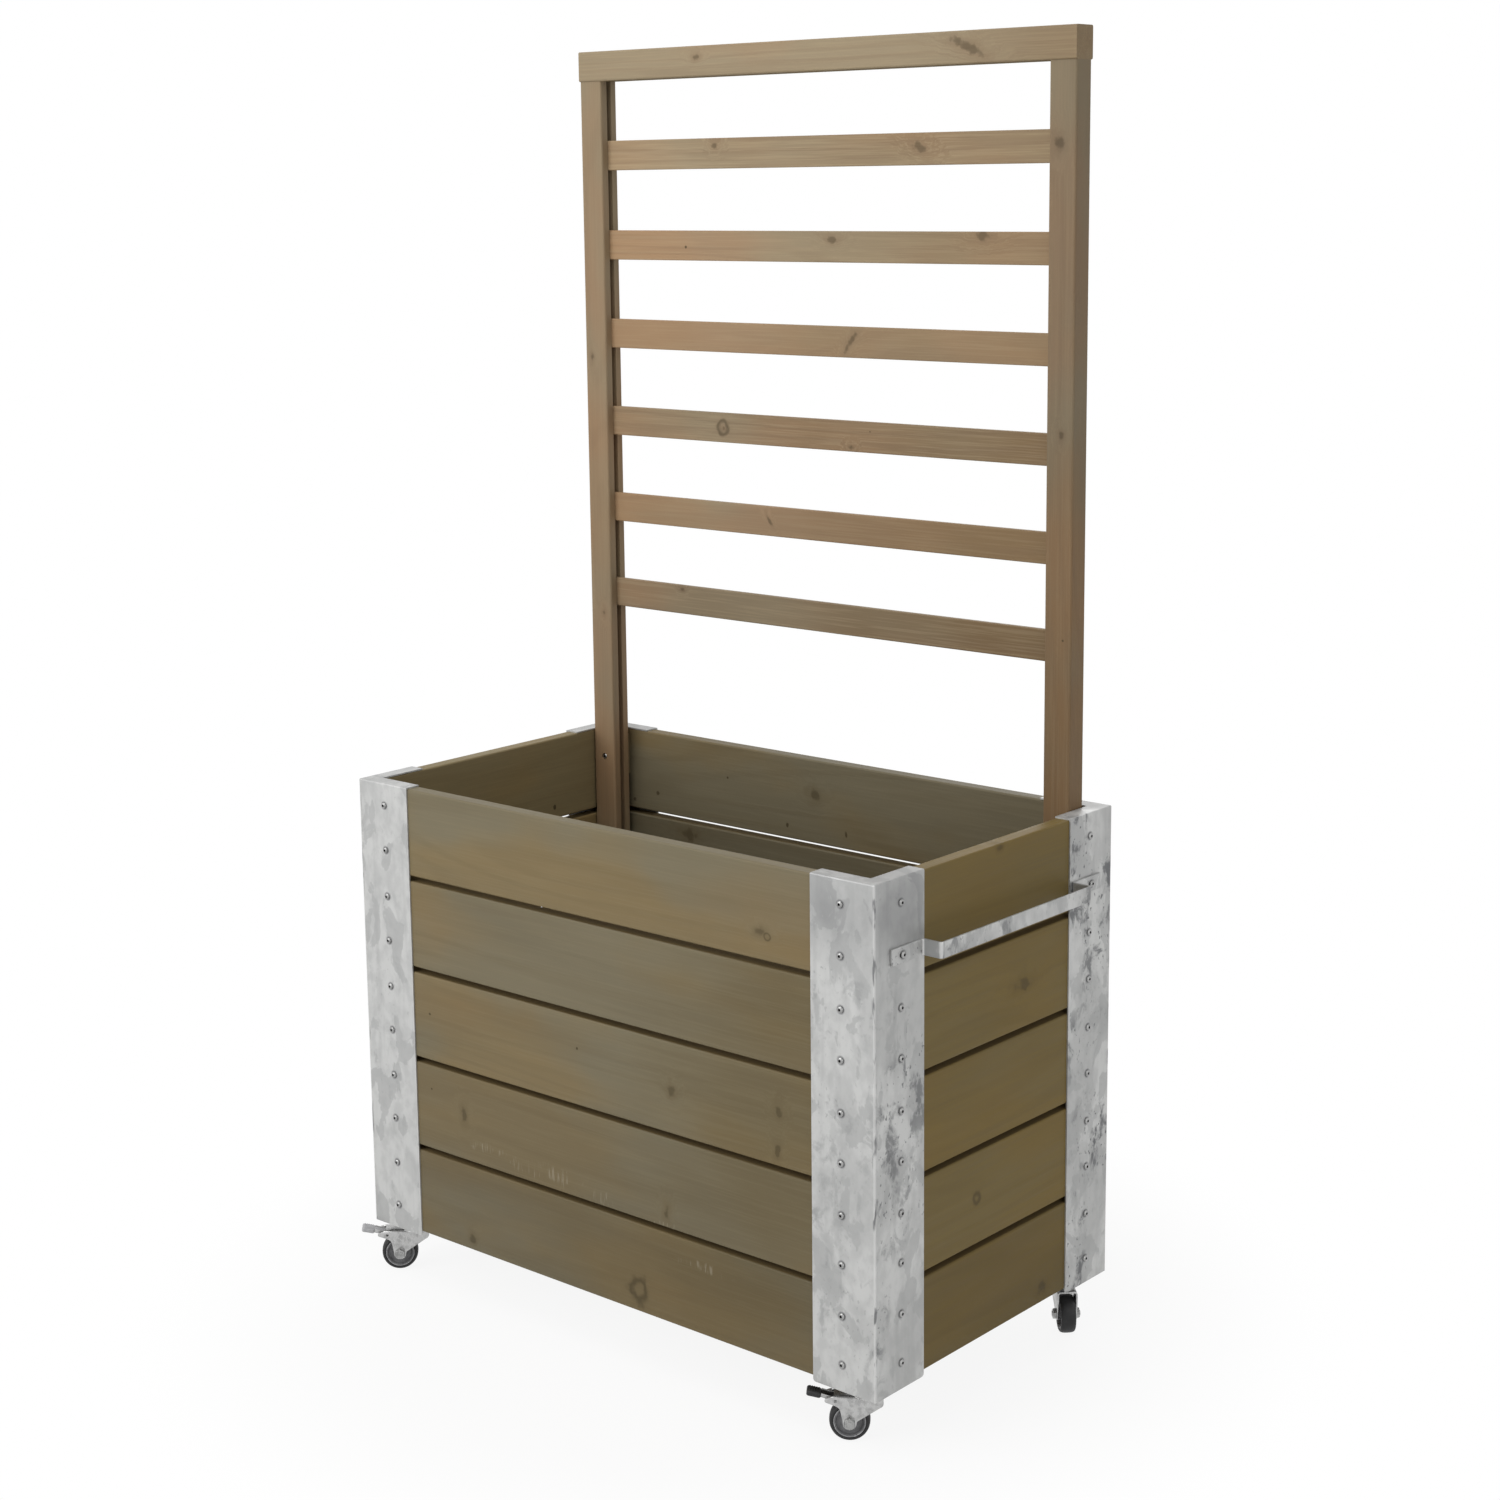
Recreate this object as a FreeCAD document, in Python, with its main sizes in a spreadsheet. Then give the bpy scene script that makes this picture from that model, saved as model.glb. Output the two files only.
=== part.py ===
"""Planter room divider on castors: a slatted wooden box with steel corners and a trellis at its back.

Millimetres. X runs along the box, the front is at -Y, +Z is up, and the origin lies on the floor
under the middle of the box.
"""
import FreeCAD, Part
import Sketcher
import math
import os

Vector = FreeCAD.Vector
Rotation = FreeCAD.Rotation
UP = Vector(0, 0, 1)

doc = FreeCAD.newDocument("planter_room_divider")

# Driving dimensions
DRIVING_SIZES = [
    ("box_length", 885, "box length over the steel corners"),
    ("box_width", 495, "box width over the steel corners"),
    ("steel", 2, "thickness of the corner angles"),
    ("leg_width", 95, "width of each flange of a corner angle"),
    ("leg_corner", 4, "radius of a flange's free lower corner"),
    ("foot_margin", 6, "foot plate beyond the castor plate"),
    ("board_thickness", 21, "thickness of the side boards"),
    ("board_height", 119, "height of one side board"),
    ("board_gap", 7.5, "open gap between two side boards"),
    ("board_edge", 2.5, "radius of a board's eased edges"),
    ("screw_inset", 50, "corner of the box to a column of screws"),
    ("screw_spread", 62, "distance between the two screws of a board"),
    ("screw_shank", 4, "diameter of a corner screw"),
    ("screw_length", 18, "length of a corner screw under its head"),
    ("screw_head", 8.5, "diameter of a corner screw's head"),
    ("screw_head_height", 2.6, "height of a corner screw's head"),
    ("fit_clearance", 0.05, "radial clearance round fixed pins and screws"),
    ("pilot_extra", 1, "depth of a pilot hole past the screw's tip"),
    ("bar_height", 20, "height of the handles' flat bar"),
    ("bar_thickness", 3, "thickness of the handles' flat bar"),
    ("handle_reach", 30, "outside of the leg to outside of the handle"),
    ("handle_tip", 21, "handle screw to the tip of the foot"),
    ("handle_setback", 6, "edge of the leg to the handle's bend"),
    ("handle_bend", 4, "outer radius of the handle's bends"),
    ("slot_length", 12, "length of the slot in a handle's foot"),
    ("slot_width", 5.5, "width of the slot in a handle's foot"),
    ("bearer_width", 38, "width of a floor bearer"),
    ("bearer_height", 45, "height of a floor bearer"),
    ("bearer_screw_end", 110, "end of a bearer to its first screw"),
    ("floor_thickness", 19, "thickness of the floor boards"),
    ("floor_gap", 8, "drain gap between two floor boards"),
    ("floor_play", 2, "gap between the floor boards and the walls"),
    ("long_shank", 4.5, "diameter of a long screw"),
    ("long_length", 52, "length of a long screw under its head"),
    ("long_head", 9, "diameter of a long screw's head"),
    ("long_head_height", 2.6, "height of a long screw's head"),
    ("recess_depth", 3.2, "depth of the recess for a long screw's head"),
    ("recess_play", 0.4, "radial play round a long screw's head"),
    ("trellis_rise", 931, "top of the box to the underside of the top rail"),
    ("post_width", 40, "post size along the box"),
    ("post_depth", 32, "post size across the box"),
    ("post_edge", 3, "radius of a post's eased edges"),
    ("post_side_gap", 2, "post to the end boards"),
    ("post_screw_up", 22, "middle of a board to the post screw in it"),
    ("spacer_thickness", 6.5, "spacer between a post and the back boards"),
    ("spacer_width", 30, "width of a spacer"),
    ("spacer_height", 60, "height of a spacer"),
    ("groove_front", 12, "front of a post to its groove"),
    ("groove_depth", 16, "depth of the groove for the slats"),
    ("slat_play", 0.2, "play on each side of a slat in its groove"),
    ("slat_end_play", 2, "end of a slat to the groove's bottom"),
    ("slat_thickness", 8, "thickness of a trellis slat"),
    ("slat_height", 41, "height of a trellis slat"),
    ("slat_gap", 83.4, "clear height between two slats"),
    ("rail_gap", 81.8, "clear height between the top rail and the first slat"),
    ("slat_edge", 1.5, "radius of a slat's eased edges"),
    ("rail_height", 41, "height of the top rail"),
    ("rail_overhang", 1.75, "top rail beyond the posts, front and back"),
    ("rail_edge", 2.5, "radius of the top rail's eased edges"),
    ("wheel_diameter", 50, "diameter of a castor wheel"),
    ("castor_headroom", 22, "top of the wheel to the top of the castor"),
    ("castor_inset", 40, "outside of the box to the swivel axis"),
    ("castor_trail", 24, "swivel axis to the wheel's axle"),
    ("castor_plate", 60, "side of the square castor plate"),
    ("castor_plate_thickness", 2.5, "thickness of the castor plate"),
    ("castor_plate_corner", 6, "radius of the castor plate's corners"),
    ("bolt_pitch", 46, "distance between two castor bolts"),
    ("bolt_diameter", 6, "diameter of a castor bolt"),
    ("bolt_head", 11, "diameter of a castor bolt's low head"),
    ("bolt_head_height", 2.8, "height of a castor bolt's low head"),
    ("bolt_head_gap", 0.7, "castor bolt's head to the side boards"),
    ("nut_across", 10, "width of a castor nut across its flats"),
    ("nut_height", 4, "height of a castor nut"),
    ("nut_stub", 1, "castor bolt past its nut"),
    ("fork_drop", 12.5, "top of the castor to the top of the fork"),
    ("fork_plate", 2.2, "thickness of the fork's metal"),
    ("fork_front", 18, "swivel axis to the front of the fork"),
    ("fork_shoulder", 4, "outer radius along the fork's top edges"),
    ("fork_boss", 8.5, "half the width of the fork at the axle"),
    ("race_diameter", 36, "diameter of the swivel's ball races"),
    ("race_rim", 3, "fork's round head past the race"),
    ("race_gap", 0.4, "gap between the two races"),
    ("kingpin", 10, "diameter of the swivel pin"),
    ("kingpin_head", 17, "diameter of the swivel pin's head"),
    ("kingpin_head_height", 2.4, "height of the swivel pin's head"),
    ("running_clearance", 0.05, "radial clearance of the turning fits"),
    ("head_clearance", 0.3, "gap between a turning face and its stop"),
    ("tyre_width", 20, "width of the tyre"),
    ("tyre_thickness", 5, "tyre from its seat to its tread"),
    ("tyre_edge", 4, "radius of the tread's edges"),
    ("wheel_side_gap", 1.2, "tyre to the fork on each side"),
    ("hub_diameter", 17, "diameter of the wheel's hub"),
    ("rim_thickness", 3.5, "thickness of the wheel's rim"),
    ("web_thickness", 6, "thickness of the wheel's web"),
    ("axle_diameter", 8, "diameter of the wheel's axle"),
    ("axle_head", 13, "axle's head and nut across their flats"),
    ("axle_head_height", 4.5, "height of the axle's head and nut"),
    ("wing_length", 6, "brake fork past the wheel"),
    ("pivot_inset", 8, "back of the wheel to the brake pivot"),
    ("pivot_drop", 6.5, "top of the fork to the brake pivot"),
    ("pivot_diameter", 5, "diameter of the brake pivot"),
    ("pedal_width", 18, "width of the brake pedal"),
    ("pedal_reach", 27, "back of the wheel to the pedal's tip"),
    ("pedal_pad", 18, "length of the pedal's tread"),
    ("pedal_lift", 5, "pedal's tip above the fork"),
    ("pedal_thickness", 7.5, "thickness of the pedal's tread"),
    ("pedal_hub", 4, "half the size of the pedal round its pivot"),
    ("shoe_length", 7.3, "brake pivot to the face of the shoe"),
    ("shoe_angle", -106, "direction of the shoe from its pivot at rest"),
    ("shoe_half_width", 2, "half the width of the shoe"),
    ("swivel_front_left", 226, "where the front left castor trails"),
    ("swivel_front_right", 217, "where the front right castor trails"),
    ("swivel_rear_left", 100, "where the rear left castor trails"),
    ("swivel_rear_right", 314, "where the rear right castor trails"),
]
BOARDS_HIGH = 5
SLATS_HIGH = 6
FLOOR_BOARDS = 7
BEARER_SCREWS = 4
POST_SCREW_ROWS = (1, 4)
PRESSED_BEND_SHARE = 0.9

sizes = doc.addObject("Spreadsheet::Sheet", "sizes")
for row_number, (alias, value, meaning) in enumerate(DRIVING_SIZES, start=1):
    sizes.set(f"A{row_number}", meaning)
    sizes.set(f"B{row_number}", str(value))
    sizes.setAlias(f"B{row_number}", alias)
doc.recompute()

# Places worked out from the driving dimensions
WALL = "(sizes.steel + sizes.board_thickness)"
INSIDE_LENGTH = f"(sizes.box_length - 2 * {WALL})"
INSIDE_WIDTH = f"(sizes.box_width - 2 * {WALL})"
WHEEL_RADIUS = "(sizes.wheel_diameter / 2)"
CASTOR_HEIGHT = "(sizes.wheel_diameter + sizes.castor_headroom)"
BOARD_BOTTOM = f"({CASTOR_HEIGHT} + sizes.steel + sizes.bolt_head_height + sizes.bolt_head_gap)"
BOARD_PITCH = "(sizes.board_height + sizes.board_gap)"
BOARD_TOP = f"({BOARD_BOTTOM} + {BOARDS_HIGH} * sizes.board_height + {BOARDS_HIGH - 1} * sizes.board_gap)"
BOX_TOP = f"({BOARD_TOP} + sizes.steel)"
FOOT_PLATE = "(sizes.castor_inset + sizes.castor_plate / 2 + sizes.foot_margin)"
BEARER_Y = f"({INSIDE_WIDTH} / 2 - sizes.bearer_width / 2)"
BEARER_MIDDLE = f"({BOARD_BOTTOM} + sizes.bearer_height / 2)"
FLOOR_BOTTOM = f"({BOARD_BOTTOM} + sizes.bearer_height)"
FLOOR_TOP = f"({FLOOR_BOTTOM} + sizes.floor_thickness)"
RAIL_BOTTOM = f"({BOX_TOP} + sizes.trellis_rise)"
POST_X = f"({INSIDE_LENGTH} / 2 - sizes.post_side_gap - sizes.post_width / 2)"
POST_BACK = f"({INSIDE_WIDTH} / 2 - sizes.spacer_thickness)"
POST_Y = f"({POST_BACK} - sizes.post_depth / 2)"
GROOVE_WIDTH = "(sizes.slat_thickness + 2 * sizes.slat_play)"
SLAT_Y = f"({POST_BACK} - sizes.post_depth + sizes.groove_front + {GROOVE_WIDTH} / 2)"
SWIVEL_X = "(sizes.box_length / 2 - sizes.castor_inset)"
SWIVEL_Y = "(sizes.box_width / 2 - sizes.castor_inset)"
FORK_TOP = f"({CASTOR_HEIGHT} - sizes.fork_drop)"
FORK_GAP = "(sizes.tyre_width + 2 * sizes.wheel_side_gap)"
FORK_WIDTH = f"({FORK_GAP} + 2 * sizes.fork_plate)"
RACE_HEIGHT = "((sizes.fork_drop - sizes.castor_plate_thickness - sizes.race_gap) / 2)"
WHEEL_BACK = f"(sizes.castor_trail + {WHEEL_RADIUS})"
PIVOT_X = f"({WHEEL_BACK} - sizes.pivot_inset)"
PIVOT_Z = f"({FORK_TOP} - sizes.pivot_drop)"
RIM_RADIUS = f"({WHEEL_RADIUS} - sizes.tyre_thickness)"


def board_middle(row):
    """Height of the middle of a side board, counted from the lowest one."""
    return f"({BOARD_BOTTOM} + {row} * {BOARD_PITCH} + sizes.board_height / 2)"


def post_screw_height(row):
    return f"({board_middle(row)} + sizes.post_screw_up)"


def number(expression):
    """Value of an expression on the sheet."""
    return float(sizes.evalExpression(expression))


def new_body(label, x="0", y="0", z="0", turn="0"):
    """An empty body at a place, turned about the vertical by an angle in degrees."""
    body = doc.addObject("PartDesign::Body", label)
    body.Label = label
    body.Placement = FreeCAD.Placement(Vector(), Rotation(UP, number(turn)))
    for axis, expression in (("x", x), ("y", y), ("z", z)):
        body.setExpression(f"Placement.Base.{axis}", expression)
    if "sizes." in turn:
        body.setExpression("Placement.Rotation.Angle", f"{turn} * 1 deg")
    return body


def new_sketch(body, name, role, offset="0"):
    """A sketch on one of the body's origin planes, moved along the plane's normal."""
    plane = next(feature for feature in body.Origin.OriginFeatures if feature.Role == role)
    sketch = body.newObject("Sketcher::SketchObject", name)
    sketch.AttachmentSupport = [(plane, "")]
    sketch.MapMode = "FlatFace"
    sketch.setExpression("AttachmentOffset.Base.z", offset)
    return sketch


def pin_point(sketch, geometry, point, x, y):
    """Fix a sketch point at a place given by two expressions."""
    for kind, axis, expression in (("DistanceX", -2, x), ("DistanceY", -1, y)):
        if expression == "0":
            sketch.addConstraint(Sketcher.Constraint("PointOnObject", geometry, point, axis))
            continue
        constraint = Sketcher.Constraint(kind, -1, 1, geometry, point, number(expression))
        index = sketch.addConstraint(constraint)
        sketch.setExpression(f"Constraints[{index}]", expression)


def draw_outline(sketch, points):
    """A closed outline of straight lines through points given as pairs of expressions."""
    corners = [Vector(number(x), number(y), 0) for x, y in points]
    first = sketch.GeometryCount
    for here, there in zip(corners, corners[1:] + corners[:1]):
        sketch.addGeometry(Part.LineSegment(here, there))
    lines = range(first, first + len(points))
    for line, before, (x, y) in zip(lines, [lines[-1], *lines[:-1]], points):
        sketch.addConstraint(Sketcher.Constraint("Coincident", before, 2, line, 1))
        pin_point(sketch, line, 1, x, y)


def draw_rectangle(sketch, x_low, x_high, y_low, y_high):
    draw_outline(sketch, [(x_low, y_low), (x_high, y_low), (x_high, y_high), (x_low, y_high)])


def draw_circle(sketch, x, y, radius):
    circle = Part.Circle(Vector(number(x), number(y), 0), UP, number(radius))
    geometry = sketch.addGeometry(circle)
    pin_point(sketch, geometry, 3, x, y)
    index = sketch.addConstraint(Sketcher.Constraint("Radius", geometry, number(radius)))
    sketch.setExpression(f"Constraints[{index}]", radius)


def draw_hexagon(sketch, across_flats):
    radius = f"({across_flats} / sqrt(3))"
    turns = [60 * side for side in range(6)]
    draw_outline(sketch, [(f"{radius} * cos({turn} deg)", f"{radius} * sin({turn} deg)") for turn in turns])


def pad(body, sketch, length, both_ways=False, backwards=False):
    feature = body.newObject("PartDesign::Pad", sketch.Name + "_pad")
    feature.Profile = sketch
    feature.setExpression("Length", length)
    feature.SideType = "Symmetric" if both_ways else "One side"
    feature.Reversed = backwards
    doc.recompute()
    return feature


def pocket(body, sketch, depth=None, both_ways=False, backwards=False):
    """Cut a sketch into the body, right through where no depth is given, and make sure it cuts."""
    volume_before = body.Shape.Volume
    feature = body.newObject("PartDesign::Pocket", sketch.Name + "_cut")
    feature.Profile = sketch
    if depth is None:
        feature.Type = "ThroughAll"
    else:
        feature.setExpression("Length", depth)
    feature.SideType = "Symmetric" if both_ways else "One side"
    feature.Reversed = backwards
    doc.recompute()
    if body.Shape.Volume >= volume_before:
        raise RuntimeError(f"{feature.Name} cuts nothing")
    return feature


def revolve(body, sketch, axis_name):
    feature = body.newObject("PartDesign::Revolution", sketch.Name + "_turned")
    feature.Profile = sketch
    feature.ReferenceAxis = (sketch, [axis_name])
    feature.Angle = 360
    doc.recompute()
    return feature


def round_edges(body, base, name, radius, wanted):
    """Fillet the edges of a feature that the test picks by their two end points."""
    picked = []
    for index, edge in enumerate(base.Shape.Edges, start=1):
        ends = [vertex.Point for vertex in edge.Vertexes]
        if len(ends) == 2 and wanted(*ends):
            picked.append(f"Edge{index}")
    feature = body.newObject("PartDesign::Fillet", name)
    feature.Base = (base, picked)
    feature.setExpression("Radius", radius)
    doc.recompute()
    return feature


def runs_along(axis):
    """Test for edges along X, Y or Z, which are axes 0, 1 and 2."""
    others = [other for other in range(3) if other != axis]
    return lambda here, there: all(abs(here[other] - there[other]) < 1e-6 for other in others)


def group(label, members):
    """Separate pieces of one kind that share a node."""
    compound = doc.addObject("Part::Compound", label)
    compound.Label = label
    compound.Links = members
    doc.recompute()
    return compound


def fixed_shape(label, solids):
    """A node of many loose fasteners, whose sizes are read from the sheet."""
    feature = doc.addObject("Part::Feature", label)
    feature.Label = label
    feature.Shape = Part.makeCompound(solids)
    return feature


def turned_solid(outline):
    """A solid of revolution about Z from an outline of radius and height."""
    wire = Part.makePolygon([Vector(radius, 0, height) for radius, height in outline + outline[:1]])
    return Part.Face(wire).revolve(Vector(), UP, 360)


nodes = []


# Corner angles: galvanised sheet, folded over the boards at the top and into a foot plate below
def corner_angle(label, side_x, side_y):
    """Local axes start at the outer corner, at the leg's lower end, and run away from the box."""
    body = new_body(label, f"{side_x} * sizes.box_length / 2", f"{side_y} * sizes.box_width / 2", CASTOR_HEIGHT)
    leg_height = f"({BOX_TOP} - {CASTOR_HEIGHT})"

    def inward(x, y):
        return f"{-side_x} * {x}", f"{-side_y} * {y}"

    def draw_angle(sketch, depth):
        steps = [("0", "0"), ("sizes.leg_width", "0"), ("sizes.leg_width", depth), (depth, depth),
                 (depth, "sizes.leg_width"), ("0", "sizes.leg_width")]
        draw_outline(sketch, [inward(x, y) for x, y in steps])

    flanges = new_sketch(body, label + "_flanges", "XY_Plane")
    draw_angle(flanges, "sizes.steel")
    leg = pad(body, flanges, leg_height)
    far = number("sizes.leg_width")
    leg = round_edges(
        body, leg, label + "_free_corners", "sizes.leg_corner",
        lambda here, there: here.z + there.z < 1e-6 and runs_along_wall(here, there)
        and max(abs(here.x), abs(here.y)) > far - 1e-6)

    lips = new_sketch(body, label + "_lips", "XY_Plane", f"{leg_height} - sizes.steel")
    draw_angle(lips, WALL)
    pad(body, lips, "sizes.steel")

    foot = new_sketch(body, label + "_foot", "XY_Plane")
    corners = [("0", "0"), (FOOT_PLATE, "0"), (FOOT_PLATE, FOOT_PLATE), ("0", FOOT_PLATE)]
    draw_outline(foot, [inward(x, y) for x, y in corners])
    folded = pad(body, foot, "sizes.steel")

    top = number(leg_height)
    folded = round_edges(
        body, folded, label + "_bends", f"{PRESSED_BEND_SHARE} * sizes.steel",
        lambda here, there: is_outer_bend(here, there, top))

    bolt_holes = new_sketch(body, label + "_bolt_holes", "XY_Plane", "sizes.steel")
    for step_x in (-1, 1):
        for step_y in (-1, 1):
            place = inward(f"(sizes.castor_inset + {step_x} * sizes.bolt_pitch / 2)",
                           f"(sizes.castor_inset + {step_y} * sizes.bolt_pitch / 2)")
            draw_circle(bolt_holes, *place, "(sizes.bolt_diameter / 2 + sizes.fit_clearance)")
    pocket(body, bolt_holes, "sizes.steel")

    for wall, role, side, across in (("long", "XZ_Plane", side_x, side_y), ("end", "YZ_Plane", side_y, side_x)):
        holes = new_sketch(body, f"{label}_{wall}_holes", role)
        for row in range(BOARDS_HIGH):
            for step in (-1, 1):
                height = f"({board_middle(row)} - {CASTOR_HEIGHT} + {step} * sizes.screw_spread / 2)"
                draw_circle(holes, f"{-side} * sizes.screw_inset", height,
                            "(sizes.screw_shank / 2 + sizes.fit_clearance)")
        pocket(body, holes, "2 * sizes.steel", both_ways=True)
    nodes.append(body)


def runs_along_wall(here, there):
    """Test for the short edges through a flange's thickness."""
    return abs(here.distanceToPoint(there) - number("sizes.steel")) < 1e-6


def is_outer_bend(here, there, top):
    """Test for the outer corner's upright edge and the two outer edges at the top."""
    upright = max(abs(here.x), abs(here.y), abs(there.x), abs(there.y)) < 1e-6
    level = abs(here.z - top) + abs(there.z - top) < 1e-6
    on_outside = max(abs(here.x), abs(there.x)) < 1e-6 or max(abs(here.y), abs(there.y)) < 1e-6
    return upright or (level and on_outside)


CORNERS = {"front_left": (-1, -1), "front_right": (1, -1), "rear_left": (-1, 1), "rear_right": (1, 1)}
for corner, (side_x, side_y) in CORNERS.items():
    corner_angle(f"corner_angle_{corner}", side_x, side_y)


# Side boards: planed wood with eased edges, drilled for the corner screws
def side_board(label, row, x, y, turn, length, column, inner_holes):
    """Local X runs along the board and local +Y points into the box."""
    body = new_body(label, x, y, board_middle(row), turn)
    section = new_sketch(body, label + "_section", "YZ_Plane")
    draw_rectangle(section, "-sizes.board_thickness / 2", "sizes.board_thickness / 2",
                   "-sizes.board_height / 2", "sizes.board_height / 2")
    plank = pad(body, section, length, both_ways=True)
    round_edges(body, plank, label + "_eased", "sizes.board_edge", runs_along(0))

    pilots = new_sketch(body, label + "_pilots", "XZ_Plane", "sizes.board_thickness / 2")
    for step_x in (-1, 1):
        for step_z in (-1, 1):
            draw_circle(pilots, f"{step_x} * {column}", f"{step_z} * sizes.screw_spread / 2",
                        "(sizes.screw_shank / 2 + sizes.fit_clearance)")
    pocket(body, pilots, "sizes.screw_length - sizes.steel + sizes.pilot_extra")
    if inner_holes:
        inner = new_sketch(body, label + "_inner_pilots", "XZ_Plane", "-sizes.board_thickness / 2")
        for hole_x, hole_z, depth in inner_holes:
            draw_circle(inner, hole_x, hole_z, "(sizes.long_shank / 2 + sizes.fit_clearance)")
        pocket(body, inner, depth, backwards=True)
    nodes.append(body)


def bearer_screw_x(index):
    step = f"(({INSIDE_LENGTH} - 2 * sizes.bearer_screw_end) / {BEARER_SCREWS - 1})"
    return f"(sizes.bearer_screw_end + {index} * {step} - {INSIDE_LENGTH} / 2)"


BEARER_PILOT = "(sizes.long_length - sizes.bearer_width + sizes.recess_depth + sizes.pilot_extra)"
POST_PILOT = "(sizes.long_length - sizes.post_depth + sizes.recess_depth - sizes.spacer_thickness + sizes.pilot_extra)"
LONG_WALL_Y = "(sizes.box_width / 2 - sizes.steel - sizes.board_thickness / 2)"
END_WALL_X = "(sizes.box_length / 2 - sizes.steel - sizes.board_thickness / 2)"
LONG_BOARD = "(sizes.box_length - 2 * sizes.steel)"
LONG_COLUMN = "(sizes.box_length / 2 - sizes.screw_inset)"
END_COLUMN = "(sizes.box_width / 2 - sizes.screw_inset)"
for row in range(BOARDS_HIGH):
    bearer_holes = []
    if row == 0:
        drop = f"{BEARER_MIDDLE} - {board_middle(0)}"
        bearer_holes = [(bearer_screw_x(index), drop, BEARER_PILOT) for index in range(BEARER_SCREWS)]
    post_holes = []
    if row in POST_SCREW_ROWS:
        post_holes = [(f"{side} * {POST_X}", "sizes.post_screw_up", POST_PILOT) for side in (-1, 1)]
    name = f"board_{row + 1}"
    side_board(f"front_{name}", row, "0", f"-{LONG_WALL_Y}", "0", LONG_BOARD, LONG_COLUMN, bearer_holes)
    side_board(f"back_{name}", row, "0", LONG_WALL_Y, "180", LONG_BOARD, LONG_COLUMN, bearer_holes + post_holes)
    side_board(f"left_end_{name}", row, f"-{END_WALL_X}", "0", "-90", INSIDE_WIDTH, END_COLUMN, [])
    side_board(f"right_end_{name}", row, END_WALL_X, "0", "90", INSIDE_WIDTH, END_COLUMN, [])


# Handles: flat bar bent to a bridge, slotted for the lower screw of the top board on each leg
HANDLE_ROW = BOARDS_HIGH - 1
HANDLE_HEIGHT = f"({board_middle(HANDLE_ROW)} - sizes.screw_spread / 2)"


def end_handle(label, side):
    """Local X points away from the box and starts at the outside of the legs."""
    turn = "0" if side > 0 else "180"
    body = new_body(label, f"{side} * sizes.box_length / 2", "0", f"{HANDLE_HEIGHT} - sizes.bar_height / 2", turn)
    tip = f"({END_COLUMN} + sizes.handle_tip)"
    bend = "(sizes.box_width / 2 - sizes.leg_width + sizes.handle_setback)"
    thick = "sizes.bar_thickness"
    reach = "sizes.handle_reach"
    half = [("0", tip), (thick, tip), (thick, bend), (reach, bend)]
    inner = [(f"{reach} - {thick}", f"{bend} - {thick}"), ("0", f"{bend} - {thick}")]
    lower = [(x, f"-({y})") for x, y in half]
    lower_inner = [(x, f"-({y})") for x, y in inner]
    plan = new_sketch(body, label + "_plan", "XY_Plane")
    draw_outline(plan, half + lower[::-1] + lower_inner[::-1] + inner)
    bar = pad(body, plan, "sizes.bar_height")
    outer = number(reach)
    round_edges(body, bar, label + "_bends", "sizes.handle_bend",
                lambda here, there: runs_along(2)(here, there) and abs(here.x - outer) < 1e-6)

    slots = new_sketch(body, label + "_slots", "YZ_Plane")
    for step in (-1, 1):
        draw_slot(slots, f"{step} * {END_COLUMN}", "sizes.bar_height / 2", "sizes.slot_length", "sizes.slot_width")
    pocket(body, slots, "sizes.bar_thickness", backwards=True)
    nodes.append(body)


def draw_slot(sketch, x, y, length, width):
    """A level slot with round ends."""
    half_run = f"(({length} - {width}) / 2)"
    radius = number(f"{width} / 2")
    middle = Vector(number(x), number(y), 0)
    run = Vector(number(half_run), 0, 0)
    rise = Vector(0, radius, 0)
    right = sketch.addGeometry(Part.ArcOfCircle(Part.Circle(middle + run, UP, radius), -math.pi / 2, math.pi / 2))
    top = sketch.addGeometry(Part.LineSegment(middle + run + rise, middle - run + rise))
    left = sketch.addGeometry(Part.ArcOfCircle(Part.Circle(middle - run, UP, radius), math.pi / 2, 3 * math.pi / 2))
    bottom = sketch.addGeometry(Part.LineSegment(middle - run - rise, middle + run - rise))
    for here, there in ((right, top), (top, left), (left, bottom), (bottom, right)):
        sketch.addConstraint(Sketcher.Constraint("Tangent", here, 2, there, 1))
    pin_point(sketch, right, 3, f"{x} + {half_run}", y)
    pin_point(sketch, left, 3, f"{x} - {half_run}", y)
    index = sketch.addConstraint(Sketcher.Constraint("Radius", right, radius))
    sketch.setExpression(f"Constraints[{index}]", f"{width} / 2")


end_handle("left_handle", -1)
end_handle("right_handle", 1)


# Floor: two bearers screwed to the lowest long boards, and loose boards across them
def floor_bearer(name, side):
    """Local +Y points into the box."""
    body = new_body(name, "0", f"{side} * {BEARER_Y}", BEARER_MIDDLE, "0" if side < 0 else "180")
    section = new_sketch(body, name + "_section", "YZ_Plane")
    draw_rectangle(section, "-sizes.bearer_width / 2", "sizes.bearer_width / 2",
                   "-sizes.bearer_height / 2", "sizes.bearer_height / 2")
    pad(body, section, INSIDE_LENGTH, both_ways=True)
    for cut, radius, depth in long_screw_cuts():
        sketch = new_sketch(body, f"{name}_{cut}", "XZ_Plane", "-sizes.bearer_width / 2")
        for index in range(BEARER_SCREWS):
            draw_circle(sketch, bearer_screw_x(index), "0", radius)
        pocket(body, sketch, depth, backwards=True)
    return body


def long_screw_cuts():
    """The head's recess and the shank's hole of a long screw."""
    return [("recesses", "(sizes.long_head / 2 + sizes.recess_play)", "sizes.recess_depth"),
            ("holes", "(sizes.long_shank / 2 + sizes.fit_clearance)", None)]


nodes.append(group("floor_bearers", [floor_bearer("floor_bearer_front", -1), floor_bearer("floor_bearer_back", 1)]))

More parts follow.
